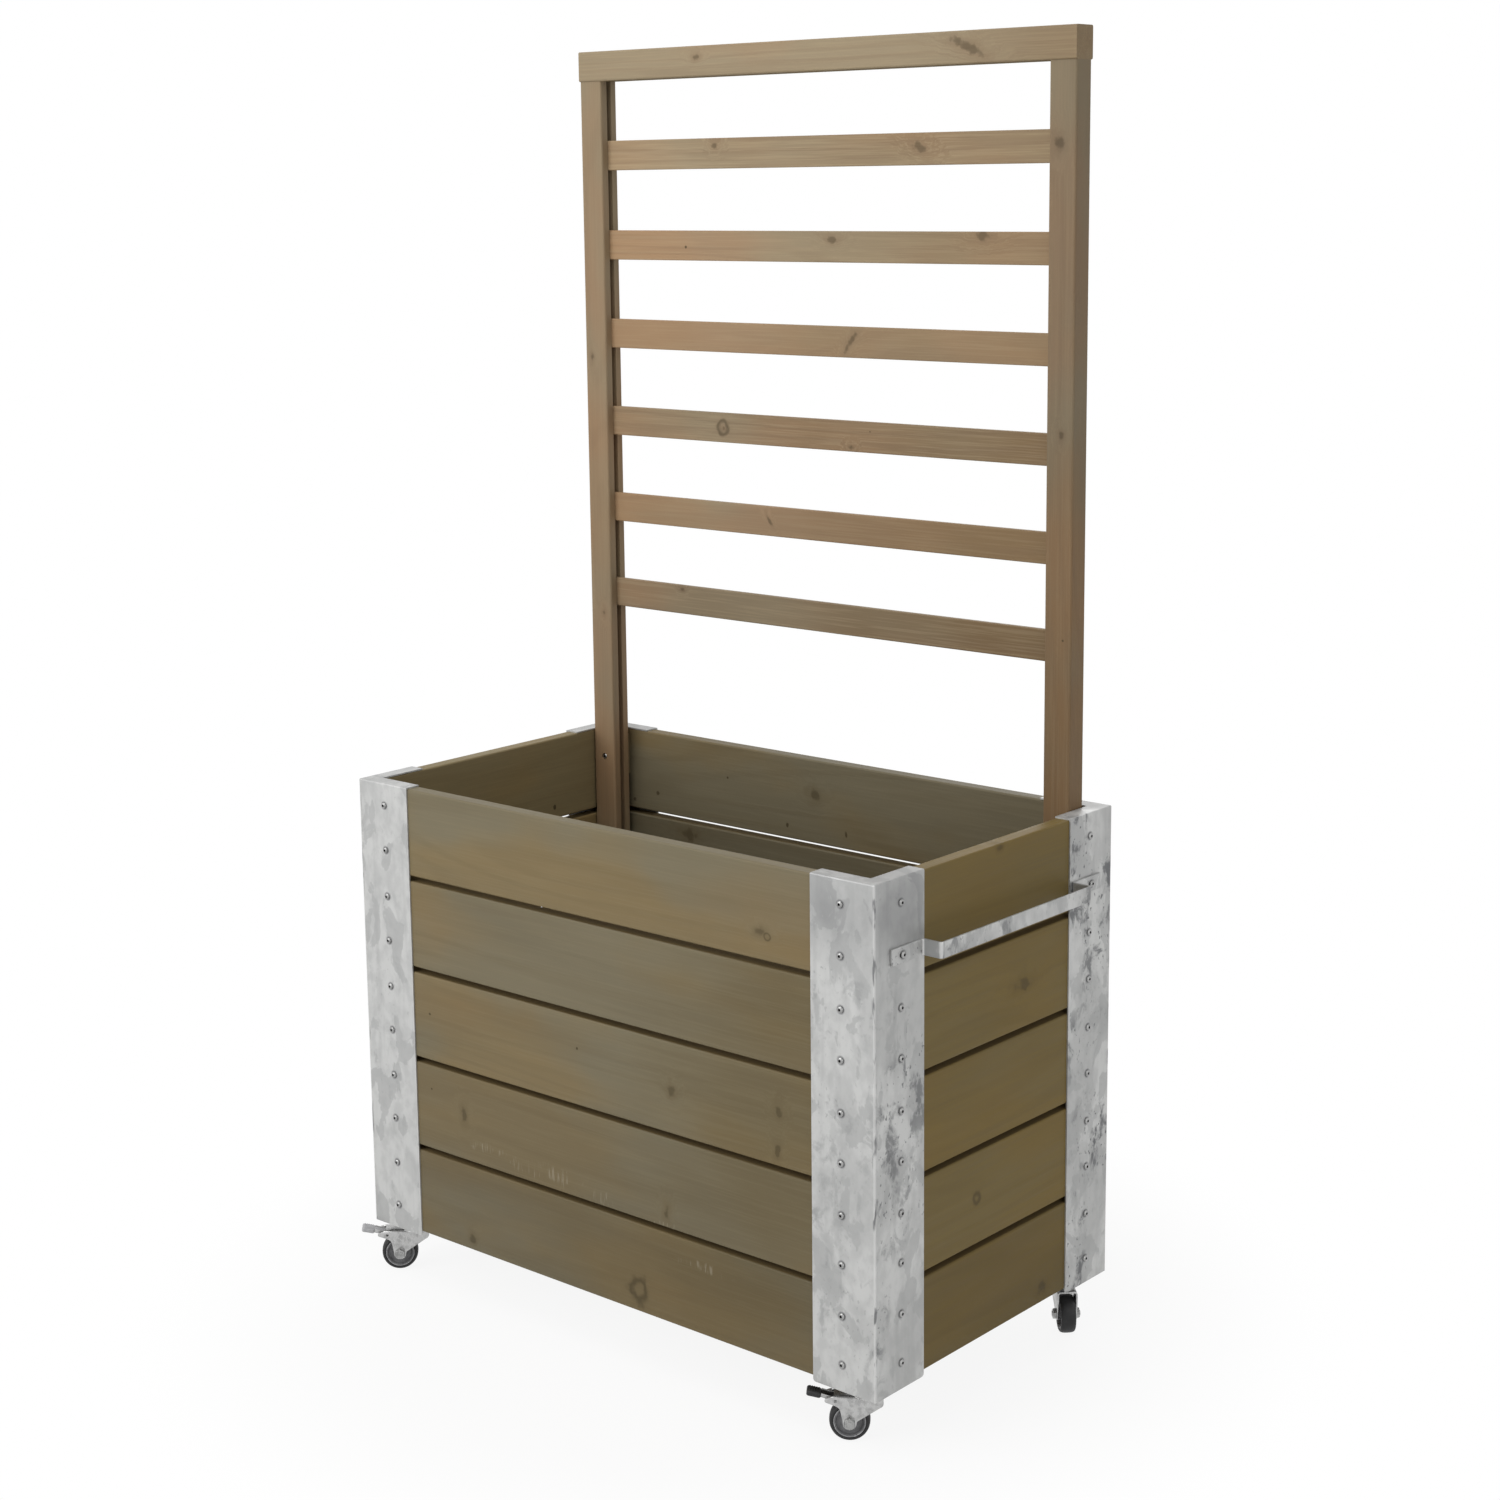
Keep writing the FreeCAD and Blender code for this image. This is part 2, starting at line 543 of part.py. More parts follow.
floor_boards = []
FLOOR_LENGTH = f"({INSIDE_LENGTH} - 2 * sizes.floor_play)"
FLOOR_BOARD_WIDTH = f"(({FLOOR_LENGTH} - {FLOOR_BOARDS - 1} * sizes.floor_gap) / {FLOOR_BOARDS})"
for index in range(FLOOR_BOARDS):
    plank = doc.addObject("Part::Box", f"floor_board_{index + 1}")
    plank.setExpression("Length", FLOOR_BOARD_WIDTH)
    plank.setExpression("Width", f"{INSIDE_WIDTH} - 2 * sizes.floor_play")
    plank.setExpression("Height", "sizes.floor_thickness")
    plank.setExpression("Placement.Base.x", f"{index} * ({FLOOR_BOARD_WIDTH} + sizes.floor_gap) - {FLOOR_LENGTH} / 2")
    plank.setExpression("Placement.Base.y", f"sizes.floor_play - {INSIDE_WIDTH} / 2")
    plank.setExpression("Placement.Base.z", FLOOR_BOTTOM)
    floor_boards.append(plank)
nodes.append(group("floor_boards", floor_boards))


# Trellis: two grooved posts that stand on the floor, slats glued in the grooves, and a rail on top
def trellis_post(label, side):
    """Local axes start at the middle of the post, at its foot, and the groove faces the other post."""
    body = new_body(label, f"{side} * {POST_X}", POST_Y, FLOOR_TOP)
    outer = f"{side} * sizes.post_width / 2"
    inner = f"-({outer})"
    bottom = f"{side} * (sizes.groove_depth - sizes.post_width / 2)"
    front = "-sizes.post_depth / 2"
    back = "sizes.post_depth / 2"
    groove_start = f"({front} + sizes.groove_front)"
    groove_end = f"({groove_start} + {GROOVE_WIDTH})"
    section = new_sketch(body, label + "_section", "XY_Plane")
    draw_outline(section, [(outer, front), (outer, back), (inner, back), (inner, groove_end), (bottom, groove_end),
                           (bottom, groove_start), (inner, groove_start), (inner, front)])
    upright = pad(body, section, f"{RAIL_BOTTOM} - {FLOOR_TOP}")
    depth = number("sizes.post_depth") / 2
    round_edges(body, upright, label + "_eased", "sizes.post_edge",
                lambda here, there: runs_along(2)(here, there) and abs(abs(here.y) - depth) < 1e-6)
    for cut, radius, cut_depth in long_screw_cuts():
        sketch = new_sketch(body, f"{label}_{cut}", "XZ_Plane", "sizes.post_depth / 2")
        for row in POST_SCREW_ROWS:
            draw_circle(sketch, "0", f"{post_screw_height(row)} - {FLOOR_TOP}", radius)
        pocket(body, sketch, cut_depth)
    pilot = new_sketch(body, label + "_rail_pilot", "XY_Plane", f"{RAIL_BOTTOM} - {FLOOR_TOP}")
    draw_circle(pilot, RAIL_SCREW_SHIFT.format(side=side), "0", "(sizes.long_shank / 2 + sizes.fit_clearance)")
    pocket(body, pilot, "sizes.long_length - sizes.rail_height + sizes.recess_depth + sizes.pilot_extra")
    nodes.append(body)


RAIL_SCREW_SHIFT = "{side} * sizes.groove_depth / 2"
trellis_post("left_post", -1)
trellis_post("right_post", 1)

spacers = []
for side in (-1, 1):
    for row in POST_SCREW_ROWS:
        name = f"post_spacer_{row}_{'left' if side < 0 else 'right'}"
        spacer = new_body(name, f"{side} * {POST_X}", f"{INSIDE_WIDTH} / 2", post_screw_height(row))
        face = new_sketch(spacer, name + "_face", "XZ_Plane")
        draw_rectangle(face, "-sizes.spacer_width / 2", "sizes.spacer_width / 2",
                       "-sizes.spacer_height / 2", "sizes.spacer_height / 2")
        draw_circle(face, "0", "0", "(sizes.long_shank / 2 + sizes.fit_clearance)")
        pad(spacer, face, "sizes.spacer_thickness")
        spacers.append(spacer)
nodes.append(group("post_spacers", spacers))

rail = new_body("top_rail", "0", POST_Y, RAIL_BOTTOM)
RAIL_DEPTH = "(sizes.post_depth + 2 * sizes.rail_overhang)"
RAIL_LENGTH = f"({INSIDE_LENGTH} - 2 * sizes.post_side_gap)"
rail_section = new_sketch(rail, "top_rail_section", "YZ_Plane")
draw_rectangle(rail_section, f"-{RAIL_DEPTH} / 2", f"{RAIL_DEPTH} / 2", "0", "sizes.rail_height")
rail_pad = pad(rail, rail_section, RAIL_LENGTH, both_ways=True)
round_edges(rail, rail_pad, "top_rail_eased", "sizes.rail_edge", runs_along(0))
for cut, radius, cut_depth in long_screw_cuts():
    sketch = new_sketch(rail, f"top_rail_{cut}", "XY_Plane", "sizes.rail_height")
    for side in (-1, 1):
        draw_circle(sketch, f"{side} * {POST_X} + {RAIL_SCREW_SHIFT.format(side=side)}", "0", radius)
    pocket(rail, sketch, cut_depth)
nodes.append(rail)

SLAT_LENGTH = f"(2 * ({POST_X} - sizes.post_width / 2 + sizes.groove_depth - sizes.slat_end_play))"
for index in range(SLATS_HIGH):
    label = f"trellis_slat_{index + 1}"
    drop = f"(sizes.rail_gap + {index} * sizes.slat_gap + ({index} + 0.5) * sizes.slat_height)"
    slat = new_body(label, "0", SLAT_Y, f"{RAIL_BOTTOM} - {drop}")
    section = new_sketch(slat, label + "_section", "YZ_Plane")
    draw_rectangle(section, "-sizes.slat_thickness / 2", "sizes.slat_thickness / 2",
                   "-sizes.slat_height / 2", "sizes.slat_height / 2")
    strip = pad(slat, section, SLAT_LENGTH, both_ways=True)
    round_edges(slat, strip, label + "_eased", "sizes.slat_edge", runs_along(0))
    nodes.append(slat)


# Castors: each has a plate with its swivel pin, a pressed fork, an axle and a wheel with a tyre
def castor_plate(name, side_x, side_y):
    """Local Z starts on the floor, and the swivel axis is the local Z axis."""
    body = new_body(name, f"{side_x} * {SWIVEL_X}", f"{side_y} * {SWIVEL_Y}")
    underside = f"({CASTOR_HEIGHT} - sizes.castor_plate_thickness)"
    outline = new_sketch(body, name + "_outline", "XY_Plane", underside)
    half = "sizes.castor_plate / 2"
    draw_rectangle(outline, f"-{half}", half, f"-{half}", half)
    blank = pad(body, outline, "sizes.castor_plate_thickness")
    round_edges(body, blank, name + "_corners", "sizes.castor_plate_corner", runs_along(2))
    holes = new_sketch(body, name + "_holes", "XY_Plane", CASTOR_HEIGHT)
    for step_x in (-1, 1):
        for step_y in (-1, 1):
            draw_circle(holes, f"{step_x} * sizes.bolt_pitch / 2", f"{step_y} * sizes.bolt_pitch / 2",
                        "(sizes.bolt_diameter / 2 + sizes.fit_clearance)")
    pocket(body, holes)
    head_top = f"({FORK_TOP} - sizes.fork_plate - sizes.head_clearance)"
    head_bottom = f"({head_top} - sizes.kingpin_head_height)"
    race_bottom = f"({underside} - {RACE_HEIGHT})"
    pin = new_sketch(body, name + "_pin", "XZ_Plane")
    draw_outline(pin, [("0", underside), ("sizes.race_diameter / 2", underside),
                       ("sizes.race_diameter / 2", race_bottom), ("sizes.kingpin / 2", race_bottom),
                       ("sizes.kingpin / 2", head_top), ("sizes.kingpin_head / 2", head_top),
                       ("sizes.kingpin_head / 2", head_bottom), ("0", head_bottom)])
    revolve(body, pin, "V_Axis")
    return body


def castor_fork(label, x, y, turn, braked):
    """Local +X is the way the castor trails. A braked fork reaches back past the wheel."""
    body = new_body(label, x, y, "0", turn)
    trail = "sizes.castor_trail"
    boss = "sizes.fork_boss"
    wing = [(f"{WHEEL_BACK} - sizes.wing_length", FORK_TOP),
            (f"{WHEEL_BACK} + sizes.wing_length", f"{FORK_TOP} - 0.6 * sizes.pivot_drop"),
            (f"{WHEEL_BACK} + sizes.wing_length", f"{FORK_TOP} - 1.3 * sizes.pivot_drop"),
            (PIVOT_X, f"{PIVOT_Z} - sizes.pivot_drop")]
    plain = [(f"{trail} + 1.4 * {boss}", FORK_TOP)]
    waist = [(f"{trail} + 1.4 * {boss}", f"{PIVOT_Z} - 1.4 * sizes.pivot_drop"),
             (f"{trail} + {boss}", f"{WHEEL_RADIUS} + {boss} / 4"),
             (f"{trail} + {boss}", f"{WHEEL_RADIUS} - {boss}"),
             (f"{trail} - {boss}", f"{WHEEL_RADIUS} - {boss}"),
             (f"{trail} - {boss}", f"{WHEEL_RADIUS} + {boss} / 4"),
             ("-sizes.fork_front", f"{FORK_TOP} - 1.8 * sizes.pivot_drop")]
    profile = new_sketch(body, label + "_profile", "XZ_Plane")
    draw_outline(profile, [("-sizes.fork_front", FORK_TOP)] + (wing if braked else plain) + waist)
    block = pad(body, profile, FORK_WIDTH, both_ways=True)

    foot = number(f"{WHEEL_RADIUS} - {boss}")
    block = round_edges(body, block, label + "_boss", f"{PRESSED_BEND_SHARE} * {boss}",
                        lambda here, there: runs_along(1)(here, there) and abs(here.z - foot) < 1e-6)
    top = number(FORK_TOP)
    round_edges(body, block, label + "_shoulders", "sizes.fork_shoulder",
                lambda here, there: runs_along(0)(here, there) and abs(here.z - top) < 1e-6)

    clearing = new_sketch(body, label + "_clearing", "XZ_Plane")
    draw_rectangle(clearing, "-2 * sizes.fork_front", f"2 * {WHEEL_BACK}",
                   "-sizes.fork_boss", f"{FORK_TOP} - sizes.fork_plate")
    pocket(body, clearing, FORK_GAP, both_ways=True)

    head = new_sketch(body, label + "_head", "XY_Plane", f"{FORK_TOP} - sizes.fork_plate")
    draw_circle(head, "0", "0", "(sizes.race_diameter / 2 + sizes.race_rim)")
    pad(body, head, "sizes.fork_plate")
    race = new_sketch(body, label + "_race", "XY_Plane", FORK_TOP)
    draw_circle(race, "0", "0", "sizes.race_diameter / 2")
    pad(body, race, RACE_HEIGHT)
    bore = new_sketch(body, label + "_bore", "XY_Plane", f"{FORK_TOP} + {RACE_HEIGHT}")
    draw_circle(bore, "0", "0", "(sizes.kingpin / 2 + sizes.running_clearance)")
    pocket(body, bore, f"{RACE_HEIGHT} + 2 * sizes.fork_plate")

    pins = new_sketch(body, label + "_pin_holes", "XZ_Plane")
    draw_circle(pins, trail, WHEEL_RADIUS, "(sizes.axle_diameter / 2 + sizes.fit_clearance)")
    if braked:
        draw_circle(pins, PIVOT_X, PIVOT_Z, "(sizes.pivot_diameter / 2 + sizes.running_clearance)")
    pocket(body, pins, f"2 * {FORK_WIDTH}", both_ways=True)
    nodes.append(body)


def castor_axle(label, x, y, turn):
    """Local Y is the axle."""
    body = new_body(label, x, y, WHEEL_RADIUS, turn)
    shaft = new_sketch(body, label + "_shaft", "XZ_Plane")
    draw_circle(shaft, "0", "0", "sizes.axle_diameter / 2")
    pad(body, shaft, f"{FORK_WIDTH} + 2 * sizes.axle_head_height + sizes.axle_diameter / 4", both_ways=True)
    head = new_sketch(body, label + "_head", "XZ_Plane", f"{FORK_WIDTH} / 2")
    draw_hexagon(head, "sizes.axle_head")
    pad(body, head, "sizes.axle_head_height")
    nut = new_sketch(body, label + "_nut", "XZ_Plane", f"-{FORK_WIDTH} / 2")
    draw_hexagon(nut, "sizes.axle_head")
    pad(body, nut, "sizes.axle_head_height", backwards=True)
    nodes.append(body)


def castor_wheel(label, tyre_label, x, y, turn):
    """A moulded core with a hub, a web and a rim, and the tyre that is pressed over the rim."""
    core = new_body(label, x, y, WHEEL_RADIUS, turn)
    bore = "(sizes.axle_diameter / 2 + sizes.running_clearance)"
    hub = "(sizes.hub_diameter / 2)"
    hub_side = f"({FORK_GAP} / 2 - sizes.head_clearance)"
    rim_side = "(sizes.tyre_width / 2 - sizes.head_clearance)"
    web_side = "(sizes.web_thickness / 2)"
    rim_inside = f"({RIM_RADIUS} - sizes.rim_thickness)"
    half = [(hub_side, bore), (hub_side, hub), (web_side, hub), (web_side, rim_inside), (rim_side, rim_inside),
            (rim_side, RIM_RADIUS)]
    section = new_sketch(core, label + "_section", "YZ_Plane")
    draw_outline(section, half + [(f"-{side}", radius) for side, radius in half[::-1]])
    revolve(core, section, "H_Axis")

    tyre = new_body(tyre_label, x, y, WHEEL_RADIUS, turn)
    seat = f"({RIM_RADIUS} + sizes.fit_clearance)"
    ring = new_sketch(tyre, tyre_label + "_section", "YZ_Plane")
    draw_rectangle(ring, "-sizes.tyre_width / 2", "sizes.tyre_width / 2", seat, WHEEL_RADIUS)
    turned = revolve(tyre, ring, "H_Axis")
    tread = number(WHEEL_RADIUS)
    picked = [f"Edge{index}" for index, edge in enumerate(turned.Shape.Edges, start=1)
              if isinstance(edge.Curve, Part.Circle) and abs(edge.Curve.Radius - tread) < 1e-6]
    shoulders = tyre.newObject("PartDesign::Fillet", tyre_label + "_shoulders")
    shoulders.Base = (turned, picked)
    shoulders.setExpression("Radius", "sizes.tyre_edge")
    nodes.extend([core, tyre])


def brake_pedal(label, x, y, turn):
    """A lever on a pin in the fork. Pressing the tread down turns the shoe towards the tyre."""
    body = new_body(label, x, y, "0", turn)
    hub = "sizes.pedal_hub"
    tip_x = f"({WHEEL_BACK} + sizes.pedal_reach)"
    tip_z = f"({FORK_TOP} + sizes.pedal_lift)"
    root_x = f"({tip_x} - sizes.pedal_pad)"
    root_z = f"({tip_z} - {hub})"

    def shoe_corner(step):
        along = "sizes.shoe_length"
        across = f"{step} * sizes.shoe_half_width"
        turned = "(sizes.shoe_angle * 1 deg)"
        return (f"{PIVOT_X} + {along} * cos{turned} - {across} * sin{turned}",
                f"{PIVOT_Z} + {along} * sin{turned} + {across} * cos{turned}")

    profile = new_sketch(body, label + "_profile", "XZ_Plane")
    draw_outline(profile, [(f"{PIVOT_X} - {hub}", f"{PIVOT_Z} + 0.6 * {hub}"),
                           (f"{PIVOT_X} + 2 * {hub}", f"{PIVOT_Z} + 0.6 * {hub}"),
                           (root_x, root_z), (tip_x, tip_z), (tip_x, f"{tip_z} - sizes.pedal_thickness"),
                           (root_x, f"{root_z} - sizes.pedal_thickness"),
                           (f"{PIVOT_X} + {hub}", f"{PIVOT_Z} - {hub}"),
                           shoe_corner(1), shoe_corner(-1), (f"{PIVOT_X} - {hub}", PIVOT_Z)])
    pad(body, profile, "sizes.pedal_width", both_ways=True)
    pin = new_sketch(body, label + "_pin", "XZ_Plane")
    draw_circle(pin, PIVOT_X, PIVOT_Z, "sizes.pivot_diameter / 2")
    pad(body, pin, FORK_WIDTH, both_ways=True)
    nodes.append(body)


nodes.append(group("castor_plates", [castor_plate(f"castor_plate_{corner}", *sides)
                                     for corner, sides in CORNERS.items()]))
for corner, (side_x, side_y) in CORNERS.items():
    turn = f"sizes.swivel_{corner}"
    swivel = (f"{side_x} * {SWIVEL_X}", f"{side_y} * {SWIVEL_Y}")
    hub = (f"{swivel[0]} + sizes.castor_trail * cos({turn} * 1 deg)",
           f"{swivel[1]} + sizes.castor_trail * sin({turn} * 1 deg)")
    braked = side_y < 0
    castor_fork(f"castor_fork_{corner}", *swivel, turn, braked)
    castor_axle(f"castor_axle_{corner}", *hub, turn)
    castor_wheel(f"castor_wheel_{corner}", f"castor_tyre_{corner}", *hub, turn)
    if braked:
        brake_pedal(f"brake_pedal_{corner}", *swivel, turn)


# Fasteners: each kind is one node of separate screws, turned about their own axis and then placed
def headed_pin(shank, length, head, head_height):
    """A screw along -Z with its seat at the origin and a domed head above it."""
    crown = head_height / 4
    return turned_solid([(0, -length), (shank / 2, -length), (shank / 2, 0), (head / 2, 0),
                         (head / 2, head_height - 2 * crown), (head / 2 - crown, head_height - crown / 2),
                         (head / 4, head_height), (0, head_height)])


def placed(solid, place, out):
    """A copy of a screw with its seat at a place and its head pointing out."""
    copy = solid.copy()
    copy.Placement = FreeCAD.Placement(place, Rotation(UP, out))
    return copy


corner_screw = headed_pin(*(number(f"sizes.{name}") for name in
                            ("screw_shank", "screw_length", "screw_head", "screw_head_height")))
corner_screws = []
half_length = number("sizes.box_length") / 2
half_width = number("sizes.box_width") / 2
for side_x, side_y in CORNERS.values():
    for row in range(BOARDS_HIGH):
        for step in (-1, 1):
            height = number(f"{board_middle(row)} + {step} * sizes.screw_spread / 2")
            under_handle = number("sizes.bar_thickness") if row == HANDLE_ROW and step < 0 else 0
            on_long_side = Vector(side_x * number(LONG_COLUMN), side_y * half_width, height)
            on_end = Vector(side_x * (half_length + under_handle), side_y * number(END_COLUMN), height)
            corner_screws.append(placed(corner_screw, on_long_side, Vector(0, side_y, 0)))
            corner_screws.append(placed(corner_screw, on_end, Vector(side_x, 0, 0)))
nodes.append(fixed_shape("corner_screws", corner_screws))

long_screw = headed_pin(*(number(f"sizes.{name}") for name in
                          ("long_shank", "long_length", "long_head", "long_head_height")))
long_screws = []
for side in (-1, 1):
    seat = number(f"{INSIDE_WIDTH} / 2 - sizes.bearer_width + sizes.recess_depth")
    for index in range(BEARER_SCREWS):
        place = Vector(number(bearer_screw_x(index)), side * seat, number(BEARER_MIDDLE))
        long_screws.append(placed(long_screw, place, Vector(0, -side, 0)))
    seat = number(f"{POST_BACK} - sizes.post_depth + sizes.recess_depth")
    for row in POST_SCREW_ROWS:
        place = Vector(side * number(POST_X), seat, number(post_screw_height(row)))
        long_screws.append(placed(long_screw, place, Vector(0, -1, 0)))
    rail_x = number(f"{side} * {POST_X} + {RAIL_SCREW_SHIFT.format(side=side)}")
    place = Vector(rail_x, number(POST_Y), number(f"{RAIL_BOTTOM} + sizes.rail_height - sizes.recess_depth"))
    long_screws.append(placed(long_screw, place, UP))
nodes.append(fixed_shape("long_screws", long_screws))

nut_top = number(f"{CASTOR_HEIGHT} - sizes.castor_plate_thickness")
nut_height = number("sizes.nut_height")
bolt_length = number("sizes.steel + sizes.castor_plate_thickness + sizes.nut_height + sizes.nut_stub")
castor_bolt = headed_pin(number("sizes.bolt_diameter"), bolt_length, number("sizes.bolt_head"),
                         number("sizes.bolt_head_height"))
nut_radius = number("sizes.nut_across") / math.sqrt(3)
nut_corners = [Vector(nut_radius * math.cos(math.radians(60 * side)), nut_radius * math.sin(math.radians(60 * side)), 0)
               for side in range(7)]
nut_hole = Part.makeCylinder(number("sizes.bolt_diameter / 2 + sizes.fit_clearance"), nut_height)
castor_nut = Part.Face(Part.makePolygon(nut_corners)).extrude(Vector(0, 0, nut_height)).cut(nut_hole)
castor_bolts = []
for side_x, side_y in CORNERS.values():
    for step_x in (-1, 1):
        for step_y in (-1, 1):
            x = number(f"{side_x} * {SWIVEL_X} + {step_x} * sizes.bolt_pitch / 2")
            y = number(f"{side_y} * {SWIVEL_Y} + {step_y} * sizes.bolt_pitch / 2")
            seat = number(f"{CASTOR_HEIGHT} + sizes.steel")
            castor_bolts.append(placed(castor_bolt, Vector(x, y, seat), UP))
            castor_bolts.append(placed(castor_nut, Vector(x, y, nut_top - nut_height), UP))
nodes.append(fixed_shape("castor_bolts", castor_bolts))

# Check every object, then write one file for each node
doc.recompute()
for item in doc.Objects:
    if "Invalid" in item.State or "Error" in item.State:
        raise RuntimeError(f"{item.Name} failed: {item.State}")
for node in nodes:
    if node.Shape.isNull() or not node.Shape.isValid():
        raise RuntimeError(f"{node.Label} has no valid shape")
os.makedirs("parts", exist_ok=True)
for node in nodes:
    node.Shape.exportStep(f"parts/{node.Label}.step")
print(f"{len(nodes)} nodes written")
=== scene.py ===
"""Looks of the planter room divider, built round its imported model."""

import math

import bmesh
import bpy
from mathutils import Matrix, Vector


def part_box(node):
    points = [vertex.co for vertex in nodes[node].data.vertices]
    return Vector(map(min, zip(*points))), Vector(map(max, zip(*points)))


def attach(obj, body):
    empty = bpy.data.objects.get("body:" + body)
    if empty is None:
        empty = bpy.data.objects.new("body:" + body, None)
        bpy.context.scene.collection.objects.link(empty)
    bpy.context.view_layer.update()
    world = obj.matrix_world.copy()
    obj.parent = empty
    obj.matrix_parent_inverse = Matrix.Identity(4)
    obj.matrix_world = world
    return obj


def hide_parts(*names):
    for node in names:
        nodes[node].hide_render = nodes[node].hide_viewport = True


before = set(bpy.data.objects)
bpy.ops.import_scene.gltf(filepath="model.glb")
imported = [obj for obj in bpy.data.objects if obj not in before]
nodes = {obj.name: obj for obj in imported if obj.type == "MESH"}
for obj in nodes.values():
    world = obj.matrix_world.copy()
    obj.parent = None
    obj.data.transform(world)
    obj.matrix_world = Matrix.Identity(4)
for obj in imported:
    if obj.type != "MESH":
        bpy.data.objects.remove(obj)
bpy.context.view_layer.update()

# Side boards: planed softwood boards with eased edges, brushed with a grey-brown stain
# that dries unevenly. Each board keeps its own grain, tone and marks, and all of them are
# screwed to the steel corners from outside.
GRAIN_TURNS = {"X": (0, 0, 0), "Y": (0, 0, -math.pi / 2), "Z": (0, math.pi / 2, 0)}
BOARD_STEP = (1.7, 0.31, 0.23)
FIGURE_STRETCH = (0.8, 9, 9)
FIBRE_STRETCH = (9, 420, 420)
STREAK_STRETCH = (2, 60, 60)
PATCH_STRETCH = (2.6, 6, 6)
WASH_STRETCH = (2.0, 4, 13)
HATCH_STRETCH = (330, 330, 38)
WALL_STAIN = ((0.190, 0.162, 0.102), (0.212, 0.158, 0.078))
# The end boards are the same wood as the long walls. The right end's colours are painted warmer for the warm
# shade on that side, and the left end's are painted lighter for light on its inner face.
END_STAIN_IN_WARM_SHADE = ((0.198, 0.145, 0.054), (0.210, 0.144, 0.044))
LEFT_STAIN_WITH_PAINTED_LIGHT = ((0.270, 0.213, 0.112), (0.295, 0.209, 0.092))
WARM_TINT = (1.06, 0.95, 0.82)
SOAKED_TINT = (0.66, 0.64, 0.53)
KNOT_HEART = (0.050, 0.036, 0.015)
RUBBED_WOOD = (0.34, 0.30, 0.22)
# Painted shade for the faces deep in the gaps between boards, where little light reaches.
PAINTED_GAP_SHADE = (0.165, 0.118, 0.052)
WOOD_SHEEN = 0.16


def new_finish(name):
    """A new finish, with the coordinates that its patterns lie on."""
    finish = bpy.data.materials.new(name)
    finish.use_nodes = True
    return finish, finish.node_tree.nodes.new("ShaderNodeTexCoord").outputs


def finish_node(finish, kind, sockets, **settings):
    """Add one shader node to a finish, set its properties, and fill or link its sockets."""
    node = finish.node_tree.nodes.new("ShaderNode" + kind)
    for name, value in settings.items():
        setattr(node, name, value)
    for socket, value in sockets.items():
        if isinstance(value, bpy.types.NodeSocket):
            finish.node_tree.links.new(value, node.inputs[socket])
        else:
            node.inputs[socket].default_value = value
    return node.outputs[0]


def reckon(finish, operation, *values):
    """Work out a plain sum, product or the like of one or two values."""
    return finish_node(finish, "Math", dict(enumerate(values)), operation=operation)


def times(finish, first, second):
    """Multiply two values."""
    return reckon(finish, "MULTIPLY", first, second)


def shade(colour, share):
    """A colour made darker or lighter."""
    return [share * part for part in colour]


def tint(colour, shares):
    """A colour with each of its three parts changed by a share of its own."""
    return [share * part for share, part in zip(shares, colour)]


def coat_over(finish, amount, below, above):
    """Mix one colour over another by an amount."""
    sockets = {0: amount}
    for socket, colour in ((6, below), (7, above)):
        sockets[socket] = colour if isinstance(colour, bpy.types.NodeSocket) else (*colour, 1)
    return finish_node(finish, "Mix", sockets, data_type="RGBA").node.outputs[2]


def spread(finish, value, start, end, low=0.0, high=1.0):
    """Stretch a value from one range to another, with soft ends."""
    return finish_node(finish, "MapRange", {"Value": value, "From Min": start, "From Max": end,
                                            "To Min": low, "To Max": high}, interpolation_type="SMOOTHSTEP")


def grain_noise(finish, place, scale, detail=2.0, roughness=0.5, distortion=0.0):
    """Noise stretched by a scale along each axis."""
    stretched = finish_node(finish, "Mapping", {"Vector": place, "Scale": scale})
    return finish_node(finish, "TexNoise", {"Vector": stretched, "Scale": 1.0, "Detail": detail,
                                            "Roughness": roughness, "Distortion": distortion})


def nearest_mark(finish, place, marks, flatten):
    """Distance to the nearest mark, as a share of that mark's half sizes.

    A mark is a centre, its half sizes and, if it slants, its rise towards +X in degrees.
    """
    nearest = None
    for centre, half_sizes, *slant in marks:
        offset = finish_node(finish, "VectorMath", {0: place, 1: centre}, operation="SUBTRACT")
        if slant:
            rise = (0, math.radians(slant[0]), 0)
            offset = finish_node(finish, "Mapping", {"Vector": offset, "Rotation": rise})
        share = [keep / half for keep, half in zip(flatten, half_sizes)]
        scaled = finish_node(finish, "VectorMath", {0: offset, 1: share}, operation="MULTIPLY")
        length = finish_node(finish, "VectorMath", {0: scaled}, operation="LENGTH").node
        distance = length.outputs["Value"]
        nearest = distance if nearest is None else reckon(finish, "MINIMUM", nearest, distance)
    return nearest


def settle(finish, colour, gloss, relief, strength, distance):
    """Join a finish's colour, gloss and relief to its shader, and give back the shader's sockets."""
    sockets = finish.node_tree.nodes["Principled BSDF"].inputs
    bump = finish_node(finish, "Bump", {"Height": relief, "Strength": strength, "Distance": distance})
    for socket, value in (("Base Color", colour), ("Roughness", gloss), ("Normal", bump)):
        finish.node_tree.links.new(value, sockets[socket])
    return sockets


